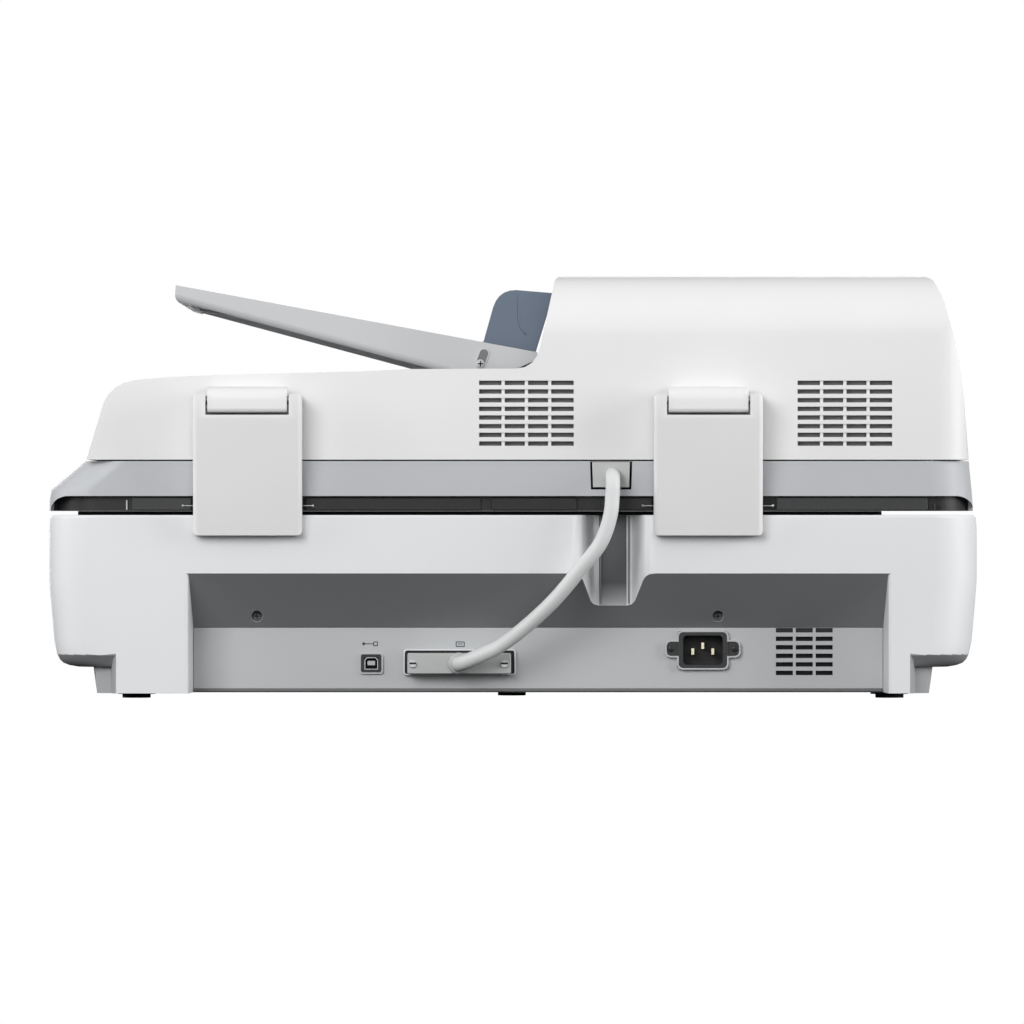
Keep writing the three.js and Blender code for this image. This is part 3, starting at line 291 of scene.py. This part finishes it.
def rubber(name, base, roughness=0.8):
    """Dull rubber with a little dust on it."""
    tree, surface = shader(name)
    dust = noise(tree, scale=300, detail=4)
    grain = noise(tree, scale=900, detail=2)
    tree.links.new(mixed(tree, dust, base, scaled(base, 1.35)), surface.inputs["Base Color"])
    tree.links.new(spread(tree, dust, roughness - 0.1, roughness + 0.08), surface.inputs["Roughness"])
    tree.links.new(bump(tree, grain, strength=0.25, distance=0.0002), surface.inputs["Normal"])


def metal(name, base, roughness=0.32):
    """Rolled or drawn metal with fine level lines."""
    tree, surface = shader(name)
    lines = noise(tree, scale=(12, 12, 720), detail=6, roughness=0.7)
    tree.links.new(mixed(tree, lines, scaled(base, 0.85), scaled(base, 1.1)), surface.inputs["Base Color"])
    tree.links.new(spread(tree, lines, roughness - 0.08, roughness + 0.12), surface.inputs["Roughness"])
    tree.links.new(bump(tree, lines, strength=0.12, distance=0.0001), surface.inputs["Normal"])
    surface.inputs["Metallic"].default_value = 1


def clear_glass(name):
    """Slightly green flat glass."""
    surface = shader(name)[1]
    surface.inputs["Base Color"].default_value = (0.82, 0.9, 0.88, 1)
    surface.inputs["Roughness"].default_value = 0.02
    surface.inputs["Transmission Weight"].default_value = 0.85
    surface.inputs["IOR"].default_value = 1.5


def make_slot_finishes():
    """One finish for each material slot of the record, under the slot's name."""
    moulded("base_white", colour(212, 213, 215))
    moulded("feeder_white", colour(215, 215, 215), roughness=0.46)
    moulded("grey_band", colour(174, 176, 179))
    moulded("tray_grey", colour(180, 181, 183))
    moulded("panel_grey", colour(180, 182, 184), roughness=0.6, grain=0.5)
    moulded("black_plastic", colour(15, 15, 16))
    moulded("inlet_black", colour(42, 43, 44), roughness=0.45, grain=0.6)
    moulded("guide_blue", colour(89, 101, 118), roughness=0.45)
    moulded("plug_grey", colour(176, 178, 177), roughness=0.45)
    moulded("clamp_grey", colour(178, 179, 178))
    moulded("button_grey", colour(206, 208, 210), roughness=0.4)
    moulded("button_green", colour(120, 168, 140), roughness=0.4)
    moulded("button_orange", colour(206, 150, 110), roughness=0.4)
    moulded("gear_cream", colour(222, 216, 200), roughness=0.45)
    moulded("board_green", colour(46, 92, 62), roughness=0.4, grain=0.5, mottle=0.12)
    moulded("cable_grey", colour(202, 204, 204), grain=0.5)
    moulded("mat_white", colour(244, 244, 242), roughness=0.7, grain=1.4)
    glossy("control_dark", colour(58, 61, 66))
    rubber("rubber_black", colour(26, 26, 27))
    metal("steel", colour(176, 178, 182))
    metal("light_metal", colour(196, 198, 202), roughness=0.36)
    clear_glass("glass")


def make_other_finishes():
    """Finishes for places and pieces that differ from their slot's own: painted shade for most, a white
    painted a little lighter for the hinge covers, and brass for the inlet's contacts.
    """
    # painted shade: a darker grey on the recess's sloping ceiling and the screw pockets in it, where shade
    # falls
    moulded("painted_recess_shade", colour(136, 137, 139), roughness=0.7)
    # painted shade: the groove's floor, light at its low end and dark higher up under the lid
    painted_shade_fade("painted_groove_shade", colour(170, 171, 173), colour(80, 81, 83), start=0.063, end=0.08)
    # painted shade: a darker grey under the wings and on the plinth's corners below them
    moulded("painted_wing_shade", colour(150, 151, 153), roughness=0.6)
    # the covers' own neutral white, painted a little lighter than the base's to make up for the shade on their
    # downward-leaning faces
    moulded("cover_white_painted_lighter", colour(216, 216, 216))
    # painted shade: a mid grey for the ribs in the lead's groove and the sheets behind the feeder's vents, for
    # the shade that falls there
    moulded("painted_shade_grey", colour(120, 121, 123))
    # painted shade: a dark grey for the screws in the recess's ceiling, the inside of the tray's keyhole slot
    # and the bottom plate's edge, where shade falls
    moulded("painted_shade_steel", colour(104, 105, 107))
    metal("pin_brass", colour(238, 230, 200), roughness=0.3)


make_slot_finishes()
make_other_finishes()


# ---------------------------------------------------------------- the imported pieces
NODE_SLOT = {s["node"]: s["material_slot"] for s in frame["record"]["subparts"]}
PLAIN_EDGE = 0.35                   # edge roundings, in mm
EDGE_WIDTH = {"base_housing": 0.8, "adf_housing": 0.7, "adf_cover": 0.9, "adf_base_frame": 0.7,
              "hinge_cover_left": 1.7, "hinge_cover_right": 1.7, "hinge_arm_left": 1.2,
              "hinge_arm_right": 1.2, "input_tray": 0.8, "output_tray": 0.8,
              "edge_guide_rear": 1.0, "edge_guide_front": 1.0, "platen_glass": 0.2,
              "adf_strip_glass": 0.2, "rear_io_panel": 0.25, "glass_bezel": 0.4}
WELD_GAP = 1e-5
FLAT_ANGLE = 0.6                    # degrees between triangles that lie in one flat face
SHARP_ANGLE = 32                    # degrees from which an edge is rounded


def paint(obj, finish):
    """Gives a piece one finish all over."""
    obj.data.materials.clear()
    obj.data.materials.append(FINISH[finish])


def finish_edges(obj, width, segments=3, dissolve=True):
    """Joins split faces, merges flat triangles and rounds the sharp edges, as a moulding's edges are."""
    weld = obj.modifiers.new("weld", "WELD")
    weld.merge_threshold = WELD_GAP
    if dissolve:
        flat = obj.modifiers.new("flat", "DECIMATE")
        flat.decimate_type = "DISSOLVE"
        flat.angle_limit = math.radians(FLAT_ANGLE)
        flat.delimit = {"MATERIAL"}
    edge = obj.modifiers.new("edge", "BEVEL")
    edge.width = width
    edge.segments = segments
    edge.limit_method = "ANGLE"
    edge.angle_limit = math.radians(SHARP_ANGLE)
    edge.harden_normals = True
    even = obj.modifiers.new("even", "WEIGHTED_NORMAL")
    even.keep_sharp = True
    obj.data.shade_smooth()


def paint_shade_on_housing():
    """Painted shade: darker greys on the ceiling over the sockets, on the groove's floor, and under the two
    wings.
    """
    housing = NODES["base_housing"]
    for shade in ("painted_recess_shade", "painted_groove_shade", "painted_wing_shade"):
        housing.data.materials.append(FINISH[shade])
    ceiling, groove, wing = 1, 2, 3     # their places in the housing's list of finishes
    ceiling_facing = Vector((0, 0.666, -0.746))
    along = 0.999
    placed = housing.matrix_world
    turn = placed.to_3x3()
    for face in housing.data.polygons:
        centre = placed @ face.center
        normal = turn @ face.normal
        # painted shade on the recess's ceiling, which faces down and back
        if normal.dot(ceiling_facing) > along and centre.z > PANEL_LOW.z and centre.y > PANEL_LOW.y:
            face.material_index = ceiling
        # painted shade on the groove's floor
        if normal.y > along and abs(centre.y - GROOVE_FLOOR) < 0.5 * MM:
            face.material_index = groove
        # painted shade under the wings and on the plinth's outer corners
        faces_down = normal.z < -0.3
        faces_aside = abs(normal.x) > 0.35 or abs(centre.x) > PLINTH_STEP
        if abs(centre.x) > WING_INNER and centre.z < WING_LOW and (faces_down or faces_aside):
            face.material_index = wing


def dress_frame():
    """Every CAD node gets its finish and rounded edges; the base housing also gets painted shade, and the
    hinge covers a white painted a little lighter.
    """
    for name, obj in NODES.items():
        paint(obj, NODE_SLOT[name])
        finish_edges(obj, EDGE_WIDTH.get(name, PLAIN_EDGE) * MM)
    paint_shade_on_housing()
    paint(NODES["inlet_contacts"], "pin_brass")
    # painted light: the hinge covers get a white a little lighter than the base's, against the shade on their
    # downward-leaning faces
    for side in ("left", "right"):
        paint(NODES[f"hinge_cover_{side}"], "cover_white_painted_lighter")


dress_frame()
paint(lead, "cable_grey")


# ---------------------------------------------------------------- builders for the small parts, in mm
def rounded(low_x, high_x, low_z, high_z, radius, steps=5):
    """The outline of a rounded rectangle as (x, z) points."""
    centres = [(high_x - radius, low_z + radius, -90), (high_x - radius, high_z - radius, 0),
               (low_x + radius, high_z - radius, 90), (low_x + radius, low_z + radius, 180)]
    points = []
    for cx, cz, start in centres:
        for k in range(steps + 1):
            angle = math.radians(start + 90 * k / steps)
            points.append((cx + radius * math.cos(angle), cz + radius * math.sin(angle)))
    return points


def about(x, z, half_x, half_z, radius, steps=5):
    """The outline of a rounded rectangle about its centre."""
    return rounded(x - half_x, x + half_x, z - half_z, z + half_z, radius, steps)


def plate(name, outline, back, front, hole=None):
    """A flat piece standing square to Y: an (x, z) outline from back to front, with one hole or none.
    The hole's outline has as many points as the outer one."""
    bm = bmesh.new()
    loops = []
    for points in (outline, hole):
        if points:
            loops.append([[bm.verts.new((x * MM, y * MM, z * MM)) for x, z in points] for y in (back, front)])
    for low, high in loops:
        count = len(low)
        for k in range(count):
            bm.faces.new((low[k], low[(k + 1) % count], high[(k + 1) % count], high[k]))
    outer = loops[0]
    count = len(outline)
    for side in (0, 1):
        if hole:
            inner = loops[1]
            for k in range(count):
                after = (k + 1) % count
                bm.faces.new((outer[side][k], outer[side][after], inner[side][after], inner[side][k]))
        else:
            bm.faces.new(outer[side])
    return new_object(name, bm, smooth=False)


def slab(name, low, high):
    """A box between two corners."""
    outline = [(low[0], low[2]), (high[0], low[2]), (high[0], high[2]), (low[0], high[2])]
    return plate(name, outline, low[1], high[1])


def turned(name, centre, profile, around=32):
    """A piece turned about the Y axis through centre; profile holds (radius, y) pairs."""
    bm = bmesh.new()
    rings = []
    for radius, y in profile:
        if radius == 0:
            rings.append([bm.verts.new((centre[0] * MM, y * MM, centre[1] * MM))] * around)
            continue
        rings.append([bm.verts.new(((centre[0] + radius * math.cos(a)) * MM, y * MM,
                                    (centre[1] + radius * math.sin(a)) * MM))
                      for a in (2 * math.pi * k / around for k in range(around))])
    for low, high in zip(rings, rings[1:]):
        for k in range(around):
            after = (k + 1) % around
            corners = []
            for vert in (low[k], low[after], high[after], high[k]):
                if vert not in corners:
                    corners.append(vert)
            bm.faces.new(corners)
    return new_object(name, bm)


def fitted(obj, slot, body, edge=0.2, finish=None):
    """Gives a small part its finish, its rounded edges and the body it rides on.
    The finish is the slot's own where none is named."""
    paint(obj, finish or slot)
    if edge:
        finish_edges(obj, edge * MM, segments=2, dissolve=False)
    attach(obj, body)


def merged(name, *objects):
    """Joins several new objects into one mesh."""
    bm = bmesh.new()
    for obj in objects:
        bm.from_mesh(obj.data)
        bpy.data.objects.remove(obj)
    mesh = bpy.data.meshes.new(name)
    bm.to_mesh(mesh)
    bm.free()
    result = bpy.data.objects.new(name, mesh)
    bpy.context.scene.collection.objects.link(result)
    return result


def cross_screw(name, centre, face, radius, body, slot, finish=None):
    """A pan-head screw whose cross recess is painted as shade in two black bars, its head standing on the
    plane y = face.
    """
    shoulder = radius * 0.8
    foot, rim, top = face - 1.2, face + 0.7, face + 1.2
    profile = [(0, foot), (shoulder, foot), (radius, face), (radius, rim), (shoulder, top), (0, face + 1.35)]
    fitted(turned(name, centre, profile), slot, body, 0, finish)
    # painted shade: two thin black bars on the head stand for the shade in the cross recess
    arm = radius * 0.62
    width = radius * 0.14
    low, high = face + 1.1, face + 1.45
    x, z = centre
    bars = [slab("bar_a", (x - arm, low, z - width), (x + arm, high, z + width)),
            slab("bar_b", (x - width, low, z - arm), (x + width, high, z + arm))]
    fitted(merged(name + "_cross_painted_shade", *bars), "black_plastic", body, 0)


# ---------------------------------------------------------------- rear panel
def make_inlet_rim():
    """The raised light rim that follows the mains inlet's outline, ears included, and the ears' screws."""
    low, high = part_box("ac_inlet")
    x = (low.x + high.x) / 2 / MM
    ear = (high.x - low.x) / 2 / MM + 0.1
    top, bottom = high.z / MM + 0.1, low.z / MM - 0.1
    body_half = 17.9
    ear_low, ear_high = bottom + 8.4, top - 6.6
    rim_width = 1.2

    def outline(inset):
        half, tip = body_half - inset, ear - inset
        upper, lower = top - inset, bottom + inset
        ear_top, ear_bottom = ear_high - inset, ear_low + inset
        soft = 3.4 - inset * 0.6
        cut = soft * 0.3
        right = [(half - soft, lower), (half - cut, lower + cut), (half, lower + soft),
                 (half, ear_bottom), (tip - soft, ear_bottom), (tip - cut, ear_bottom + cut),
                 (tip, ear_bottom + soft), (tip, ear_top - soft), (tip - cut, ear_top - cut),
                 (tip - soft, ear_top), (half, ear_top), (half, upper - soft),
                 (half - cut, upper - cut), (half - soft, upper)]
        return [(x + a, b) for a, b in right] + [(x - a, b) for a, b in reversed(right)]

    rim = plate("inlet_rim", outline(0), PANEL_FACE + 0.1, PANEL_FACE + 2.9, outline(rim_width))
    fitted(rim, "panel_grey", "base", 0.25)
    screw_aside, screw_radius = 21.9, 2.2
    for side, way in (("left", -1), ("right", 1)):
        centre = (x + way * screw_aside, (ear_low + ear_high) / 2)
        cross_screw(f"inlet_screw_{side}", centre, PANEL_FACE + 1.6, screw_radius, "base", "inlet_black")


def make_inlet_back():
    """The dark back of the mains inlet, that its three contacts stick out of."""
    low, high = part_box("inlet_contacts")
    rear, front = 154.8, 155.2
    side, below, above = 4, 6, 5
    back = slab("inlet_back", (low.x / MM - side, rear, low.z / MM - below),
                (high.x / MM + side, front, high.z / MM + above))
    fitted(back, "black_plastic", "base", 0)


def make_usb_port():
    """The square computer port: a light bezel, a dark well, a thin metal shell and its tongue."""
    low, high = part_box("usb_port")
    x = (low.x + high.x) / 2 / MM
    z = (low.z + high.z) / 2 / MM
    face = PANEL_FACE

    def shell_outline(half_x, half_z, cut):
        left, right, bottom, top = x - half_x, x + half_x, z - half_z, z + half_z
        return [(left, bottom), (right, bottom), (right, top - cut),
                (right - cut, top), (left + cut, top), (left, top - cut)]

    mouth = about(x, z, 4.8, 4.35, 0.5)
    bezel_outline, bezel_hole = about(x, z, 8.4, 7.4, 2.4), about(x, z, 7.1, 6.2, 1.4)
    bezel = plate("usb_bezel", bezel_outline, face + 0.1, face + 1.5, bezel_hole)
    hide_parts("usb_port")
    fitted(bezel, "panel_grey", "base", 0.3)
    well_outline = about(x, z, 7.05, 6.15, 1.4)
    well = plate("usb_well", well_outline, face + 0.05, face + 0.6, mouth)
    fitted(well, "inlet_black", "base", 0.1)
    sides_outline = about(x, z, 6, 5.8, 0.6)
    sides = plate("usb_sides", sides_outline, face - 14, face + 0.1, mouth)
    fitted(sides, "inlet_black", "base", 0)
    shell_outside, shell_inside = shell_outline(4.65, 4.2, 1.6), shell_outline(4.2, 3.75, 1.4)
    shell = plate("usb_shell", shell_outside, face - 12, face + 0.9, shell_inside)
    fitted(shell, "light_metal", "base", 0)
    end = slab("usb_end", (x - 5, face - 13.5, z - 4.6), (x + 5, face - 12.2, z + 4.6))
    fitted(end, "black_plastic", "base", 0)
    tongue = slab("usb_tongue", (x - 2.65, face - 12.3, z - 1.3), (x + 2.65, face - 0.4, z + 1.8))
    fitted(tongue, "plug_grey", "base", 0.2)


def make_panel_vent_back():
    """Black sheets that paint the shade behind the panel's vent, and behind its top row, which sits at the
    housing's edge.
    """
    left, right, bottom, top = -224, -178, 12, 48.4
    row_bottom, row_top, row_inset = 45, 48.6, 2
    back = slab("panel_vent_back", (left, PANEL_FACE - 8, bottom), (right, PANEL_FACE - 7, top))
    fitted(back, "black_plastic", "base", 0)
    row = slab("panel_vent_top", (left + row_inset, PANEL_FACE - 1.8, row_bottom),
               (right - row_inset, PANEL_FACE - 1.2, row_top))
    fitted(row, "black_plastic", "base", 0)


def make_slope_screws():
    """The two housing screws that sit in round pockets in the recess's sloping ceiling, both in darker greys
    that paint the shade there.
    """
    height, face, screw_radius = 56.7, 174.2, 3.1
    outer, inner, pocket_rear = 3.95, 3.3, 168
    for number, x in enumerate((176.8, -141.5)):
        cross_screw(f"slope_screw_{number}", (x, height), face, screw_radius, "base", "light_metal",
                    "painted_shade_steel")
        pocket = plate(f"slope_pocket_{number}", about(x, height, outer, outer, 3.9, 8), pocket_rear,
                       face + 0.2, about(x, height, inner, inner, 3.2, 8))
        fitted(pocket, "base_white", "base", 0, "painted_recess_shade")


def make_plate_edge():
    """The bottom plate's folded edge, along the foot of the rear panel, in a dark grey that also paints the
    shade along the panel's foot.
    """
    bottom, top = 4.7, 6.9
    edge = slab("plate_edge", (PANEL_LOW.x / MM, PANEL_FACE + 0.1, bottom),
                (PANEL_HIGH.x / MM, PANEL_FACE + 1, top))
    fitted(edge, "steel", "base", 0.2, "painted_shade_steel")


def make_socket_rim():
    """The light rim round the feeder plug and the dark gap inside it."""
    low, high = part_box("adf_socket")
    left, right, bottom, top = low.x / MM, high.x / MM, low.z / MM, high.z / MM
    rim = plate("socket_rim", rounded(left, right, bottom, top, 2.4), PANEL_FACE + 0.1, PANEL_FACE + 2.6,
                rounded(left + 1.1, right - 1.1, bottom + 1, top - 1, 1.5))
    fitted(rim, "base_white", "base", 0.3)
    gap = plate("socket_gap", rounded(left + 0.9, right - 0.9, bottom + 0.8, top - 0.8, 1.5),
                PANEL_FACE + 1.25, PANEL_FACE + 1.5)
    fitted(gap, "black_plastic", "base", 0)


def make_plug():
    """The feeder plug: its body, the boss that the lead goes into and two clip heads, each with a thin black
    bar that paints the shade in its slot.
    """
    low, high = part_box("adf_socket")
    left, right, bottom, top = low.x / MM, high.x / MM, low.z / MM, high.z / MM
    rear, face = 171.8, 184
    outline = rounded(left + 3.4, right - 2.9, bottom + 1.2, top - 2.6, 1.3)
    body = plate("plug_body", outline, rear, face)
    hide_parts("adf_plug")
    fitted(body, "plug_grey", "base", 0.7)
    lead_end = PLUG_BEND[2] / MM
    boss = turned("plug_boss", (lead_end.x, lead_end.z),
                  [(0, 183.6), (7.4, 183.6), (7.4, 187.4), (6.6, 188.6), (0, 188.8)])
    fitted(boss, "plug_grey", "base", 0)
    clip_height, slot_half, slot_bottom, slot_top = 23.8, 2.5, 23.6, 25
    for number, x in enumerate((69.1, 5.9)):
        lip = plate(f"plug_clip_{number}", about(x, clip_height, 2.8, 2.6, 2.5, 6), face - 0.4, face + 0.9)
        fitted(lip, "light_metal", "base", 0.4)
        # painted shade: a thin black bar on each clip head stands for the shade in its slot
        slot = slab(f"plug_slot_shade_{number}", (x - slot_half, face + 0.7, slot_bottom),
                    (x + slot_half, face + 1.05, slot_top))
        fitted(slot, "black_plastic", "base", 0)


def make_clamp():
    """The block on the grey band that the lead comes out of."""
    outline = [(-79.9, 145.6), (-55, 145.6), (-54.4, 163), (-80.4, 163)]
    rear, front = 201, 210.6
    block = plate("clamp_block", outline, rear, front)
    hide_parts("cable_clamp")
    fitted(block, "clamp_grey", "adf_unit", 0.4)


def make_groove_ribs():
    """The two thin ribs that stand on the floor of the lead's groove, in a mid grey that paints the shade in
    the groove.
    """
    half, bottom, top = 0.55, 65.6, 126
    rear, front = 186.8, 188.8
    for number, x in enumerate((-60.4, -79.8)):
        rib = slab(f"groove_rib_{number}", (x - half, rear, bottom), (x + half, front, top))
        fitted(rib, "base_white", "base", 0.3, "painted_shade_grey")


def make_pictograms():
    """Plain marks over the two sockets: a sheet of paper for the feeder, a connected box for the computer."""
    rear, front = PANEL_FACE - 0.02, PANEL_FACE + 0.06
    sheet = plate("mark_sheet", rounded(33.4, 39.6, 35.4, 39.2, 0.5, 2), rear, front,
                  rounded(34, 39, 36, 38.6, 0.3, 2))
    lines = [slab("line", (34.8, rear, z), (38.2, front, z + 0.3)) for z in (36.7, 37.6)]
    boxed = plate("mark_box", rounded(93.4, 96.6, 36, 39.2, 0.4, 2), rear, front,
                  rounded(94, 96, 36.6, 38.6, 0.2, 2))
    stem = slab("stem", (96.6, rear, 37.3), (102.4, front, 37.9))
    ball = plate("ball", rounded(102.2, 104.2, 36.6, 38.6, 0.9, 4), rear, front)
    fitted(merged("mark_feeder", sheet, *lines), "inlet_black", "base", 0)
    fitted(merged("mark_computer", boxed, stem, ball), "inlet_black", "base", 0)


# ---------------------------------------------------------------- feeder and its gap
def make_vent_backs():
    """Grey sheets a little way behind the feeder's two vents, which paint the shade inside them."""
    width, bottom, top = 70, 172, 223
    rear, front = LID_REAR / MM - 7.5, LID_REAR / MM - 6.5
    for number, x in enumerate((-44, -263)):
        back = slab(f"vent_back_{number}", (x, rear, bottom), (x + width, front, top))
        fitted(back, "tray_grey", "adf_unit", 0, "painted_shade_grey")


GAP_REAR = 205.3                    # Y that the bars and posts in the gap stand out from
GAP_BARS = ((221, 262, "inlet_black"), (22, 143, "black_plastic"), (-44, 15, "black_plastic"),
            (-96, -60, "black_plastic"), (-285, -181, "inlet_black"))
GAP_POSTS = ((265.6, 137, "plug_grey"), (-290, 134.5, "inlet_black"), (-297.5, 134, "inlet_black"))
GAP_RODS = ((219.6, 1), (144.8, -1), (-96.6, 1), (-171.4, -1))


def make_gap_bars():
    """Flat bars under the grey band, the outer two a little lighter and thicker."""
    bottom, top = 129.8, 138.6
    for number, (low, high, slot) in enumerate(GAP_BARS):
        thickness = 2.6 if slot == "inlet_black" else 1.6
        outline = rounded(low, high, bottom, top, 1.2, 3)
        bar = plate(f"gap_bar_{number}", outline, GAP_REAR, GAP_REAR + thickness)
        fitted(bar, slot, "adf_unit", 0.6)


def make_gap_posts():
    """Thin upright clips near the gap's two ends."""
    half, thickness, bottom = 0.5, 1.6, 130.2
    for number, (x, top, slot) in enumerate(GAP_POSTS):
        post = slab(f"gap_post_{number}", (x - half, GAP_REAR, bottom), (x + half, GAP_REAR + thickness, top))
        fitted(post, slot, "adf_unit", 0.2)


def make_gap_rods():
    """The ends of the lid springs' rods, one on each side of each hinge, with a knob at the tip."""
    length, y, z = 8, 208.6, 133
    rod_radius, knob_radius, knob_from = 0.0005, 0.0011, 0.85
    for number, (x, way) in enumerate(GAP_RODS):
        route = [Vector((x + way * k, y, z)) * MM for k in range(length + 1)]
        rod = tube(f"gap_rod_{number}", route,
                   lambda share: rod_radius if share < knob_from else knob_radius, 10)
        fitted(rod, "steel", "adf_unit", 0)


def make_mat():
    """The foam-backed white mat under the lid, with soft rolled edges."""
    low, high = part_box("document_mat")
    bm = bmesh.new()
    bmesh.ops.create_cube(bm, size=1)
    for vert in bm.verts:
        for axis in range(3):
            vert.co[axis] = low[axis] if vert.co[axis] < 0 else high[axis]
    mat = new_object("document_mat_pad", bm)
    soft = mat.modifiers.new("soft", "BEVEL")
    soft.width = 1.8 * MM
    soft.segments = 5
    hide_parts("document_mat")
    paint(mat, "mat_white")
    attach(mat, "adf_unit")


# ---------------------------------------------------------------- tray and guides
def make_tray_pivot():
    """The pivot screw on the tray's rear skirt, at the lower end of its keyhole slot."""
    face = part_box("input_tray")[1].y / MM
    low, high = Vector((22.6, 231.4)), Vector((20, 238.4))
    outer, inner = 3.9, 2.9

    def capsule(radius, steps=10):
        along = (high - low).normalized()
        start = math.atan2(along.y, along.x)
        ends = [(high, start - math.pi / 2), (low, start + math.pi / 2)]
        turns = [(centre, first + math.pi * k / steps) for centre, first in ends for k in range(steps + 1)]
        return [(centre.x + radius * math.cos(a), centre.y + radius * math.sin(a)) for centre, a in turns]

    rim = plate("pivot_rim", capsule(outer), face - 0.5, face + 0.5, capsule(inner))
    fitted(rim, "tray_grey", "input_tray", 0.25)
    # painted shade: a dark grey plate inside the keyhole slot
    dark = plate("pivot_slot", capsule(inner), face - 0.5, face + 0.12)
    fitted(dark, "steel", "input_tray", 0, "painted_shade_steel")
    cross_screw("pivot_screw", (low.x, low.y), face + 0.2, 3.1, "input_tray", "plug_grey")


def make_guide_crease():
    """The moulded step on each edge guide's outer face."""
    points = [(-2.3, 281), (-2.4, 278), (-2.7, 268), (-3.4, 260), (-5.2, 255.6), (-8.9, 252)]
    sunk, radius = 0.0003, 0.0006
    for name, sign in (("edge_guide_rear", 1), ("edge_guide_front", -1)):
        low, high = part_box(name)
        face = high.y if sign > 0 else low.y
        route = smooth_route([Vector((x * MM, face - sign * sunk, z * MM)) for x, z in points], 4)
        crease = tube(f"{name}_crease", route, lambda share: radius, 8)
        fitted(crease, "guide_blue", name, 0)


# ---------------------------------------------------------------- control panel
PANEL_TILT = math.radians(45.6)
PANEL_MIDDLE = Vector((0, -221, 113.3)) * MM


def laid(obj):
    """Lays a plate on the sloping control panel: its x runs across, its z up the slope, its y out of it."""
    across = Vector((1, 0, 0))
    up = Vector((0, math.cos(PANEL_TILT), math.sin(PANEL_TILT)))
    out = Vector((0, -math.sin(PANEL_TILT), math.cos(PANEL_TILT)))
    for vert in obj.data.vertices:
        x, y, z = vert.co
        vert.co = PANEL_MIDDLE + across * x + up * z + out * y
    return obj


def make_control_details():
    """A small status display and three lamps on the sloping front panel."""
    foot, display_top, lamp_top = 0.25, 0.75, 0.6
    display = laid(plate("status_display", about(0, 0, 40, 7, 1.5), foot, display_top))
    fitted(display, "black_plastic", "base", 0.2)
    lamps = ((-84, "button_green"), (-76, "button_grey"), (-68, "button_grey"))
    for number, (x, slot) in enumerate(lamps):
        lamp = laid(plate(f"lamp_{number}", about(x, 0, 1.3, 1.3, 1.2, 4), foot, lamp_top))
        fitted(lamp, slot, "base", 0.1)


make_inlet_rim()
make_usb_port()
make_panel_vent_back()
make_slope_screws()
make_inlet_back()
make_plate_edge()
make_socket_rim()
make_plug()
make_clamp()
make_groove_ribs()
make_pictograms()
make_vent_backs()
make_gap_bars()
make_gap_posts()
make_gap_rods()
make_mat()
make_tray_pivot()
make_guide_crease()
make_control_details()


# ---------------------------------------------------------------- studio
def seen_or_lit(tree, seen, lit):
    """One value where the camera looks straight at a stage surface, another for the light it sends on."""
    path = tree.nodes.new("ShaderNodeLightPath")
    return mixed(tree, path.outputs["Is Camera Ray"], lit, seen)


FLOOR_RADIUS = 1.3


def make_floor():
    """A round floor that shows white and sends little light back up."""
    bm = bmesh.new()
    bmesh.ops.create_circle(bm, cap_ends=True, segments=96, radius=FLOOR_RADIUS)
    floor = new_object("floor", bm)
    tree, surface = shader("floor")
    tree.links.new(seen_or_lit(tree, seen=grey(0), lit=grey(0.06)), surface.inputs["Base Color"])
    path = tree.nodes.new("ShaderNodeLightPath")
    tree.links.new(path.outputs["Is Camera Ray"], surface.inputs["Emission Strength"])
    surface.inputs["Emission Color"].default_value = grey(1)
    surface.inputs["Roughness"].default_value = 0.9
    surface.inputs["Specular IOR Level"].default_value = 0.0
    paint(floor, "floor")


def softbox(name, place, aim, size, power):
    """A rectangular light at a place, turned towards a point."""
    data = bpy.data.lights.new(name, "AREA")
    data.shape = "RECTANGLE"
    data.size, data.size_y = size
    data.energy = power
    light = bpy.data.objects.new(name, data)
    light.location = place
    light.rotation_euler = (Vector(aim) - Vector(place)).to_track_quat("-Z", "Y").to_euler()
    bpy.context.scene.collection.objects.link(light)


def make_world():
    """Surroundings that show white and light the scanner softly."""
    world = bpy.data.worlds.new("studio")
    bpy.context.scene.world = world
    world.use_nodes = True
    sky = world.node_tree.nodes["Background"]
    light = seen_or_lit(world.node_tree, seen=grey(1), lit=grey(0.34))
    world.node_tree.links.new(light, sky.inputs["Color"])


def make_studio():
    """Plain soft light from behind the scanner, its sides, its front and above."""
    bpy.context.scene.view_settings.view_transform = "Standard"
    make_world()
    softbox("key", place=(1.25, 2.6, 1.3), aim=(0, 0.1, 0.14), size=(1.4, 1.4), power=53)
    softbox("fill", place=(-0.2, 3.1, 0.8), aim=(0, 0.1, 0.14), size=(2.4, 1.4), power=18)
    softbox("left_wall", place=(2.4, 0.6, 0.85), aim=(0, 0.1, 0.12), size=(1.2, 1.2), power=24)
    softbox("right_wall", place=(-2.4, 0.75, 0.7), aim=(0, 0.1, 0.12), size=(1.2, 1.2), power=48)
    softbox("front_low", place=(0.3, -3, 0.5), aim=(0, -0.1, 0.14), size=(2.4, 1.2), power=50)
    softbox("top", place=(0, -0.2, 2.6), aim=(0, 0, 0.1), size=(2.4, 2.4), power=3)


make_floor()
make_studio()
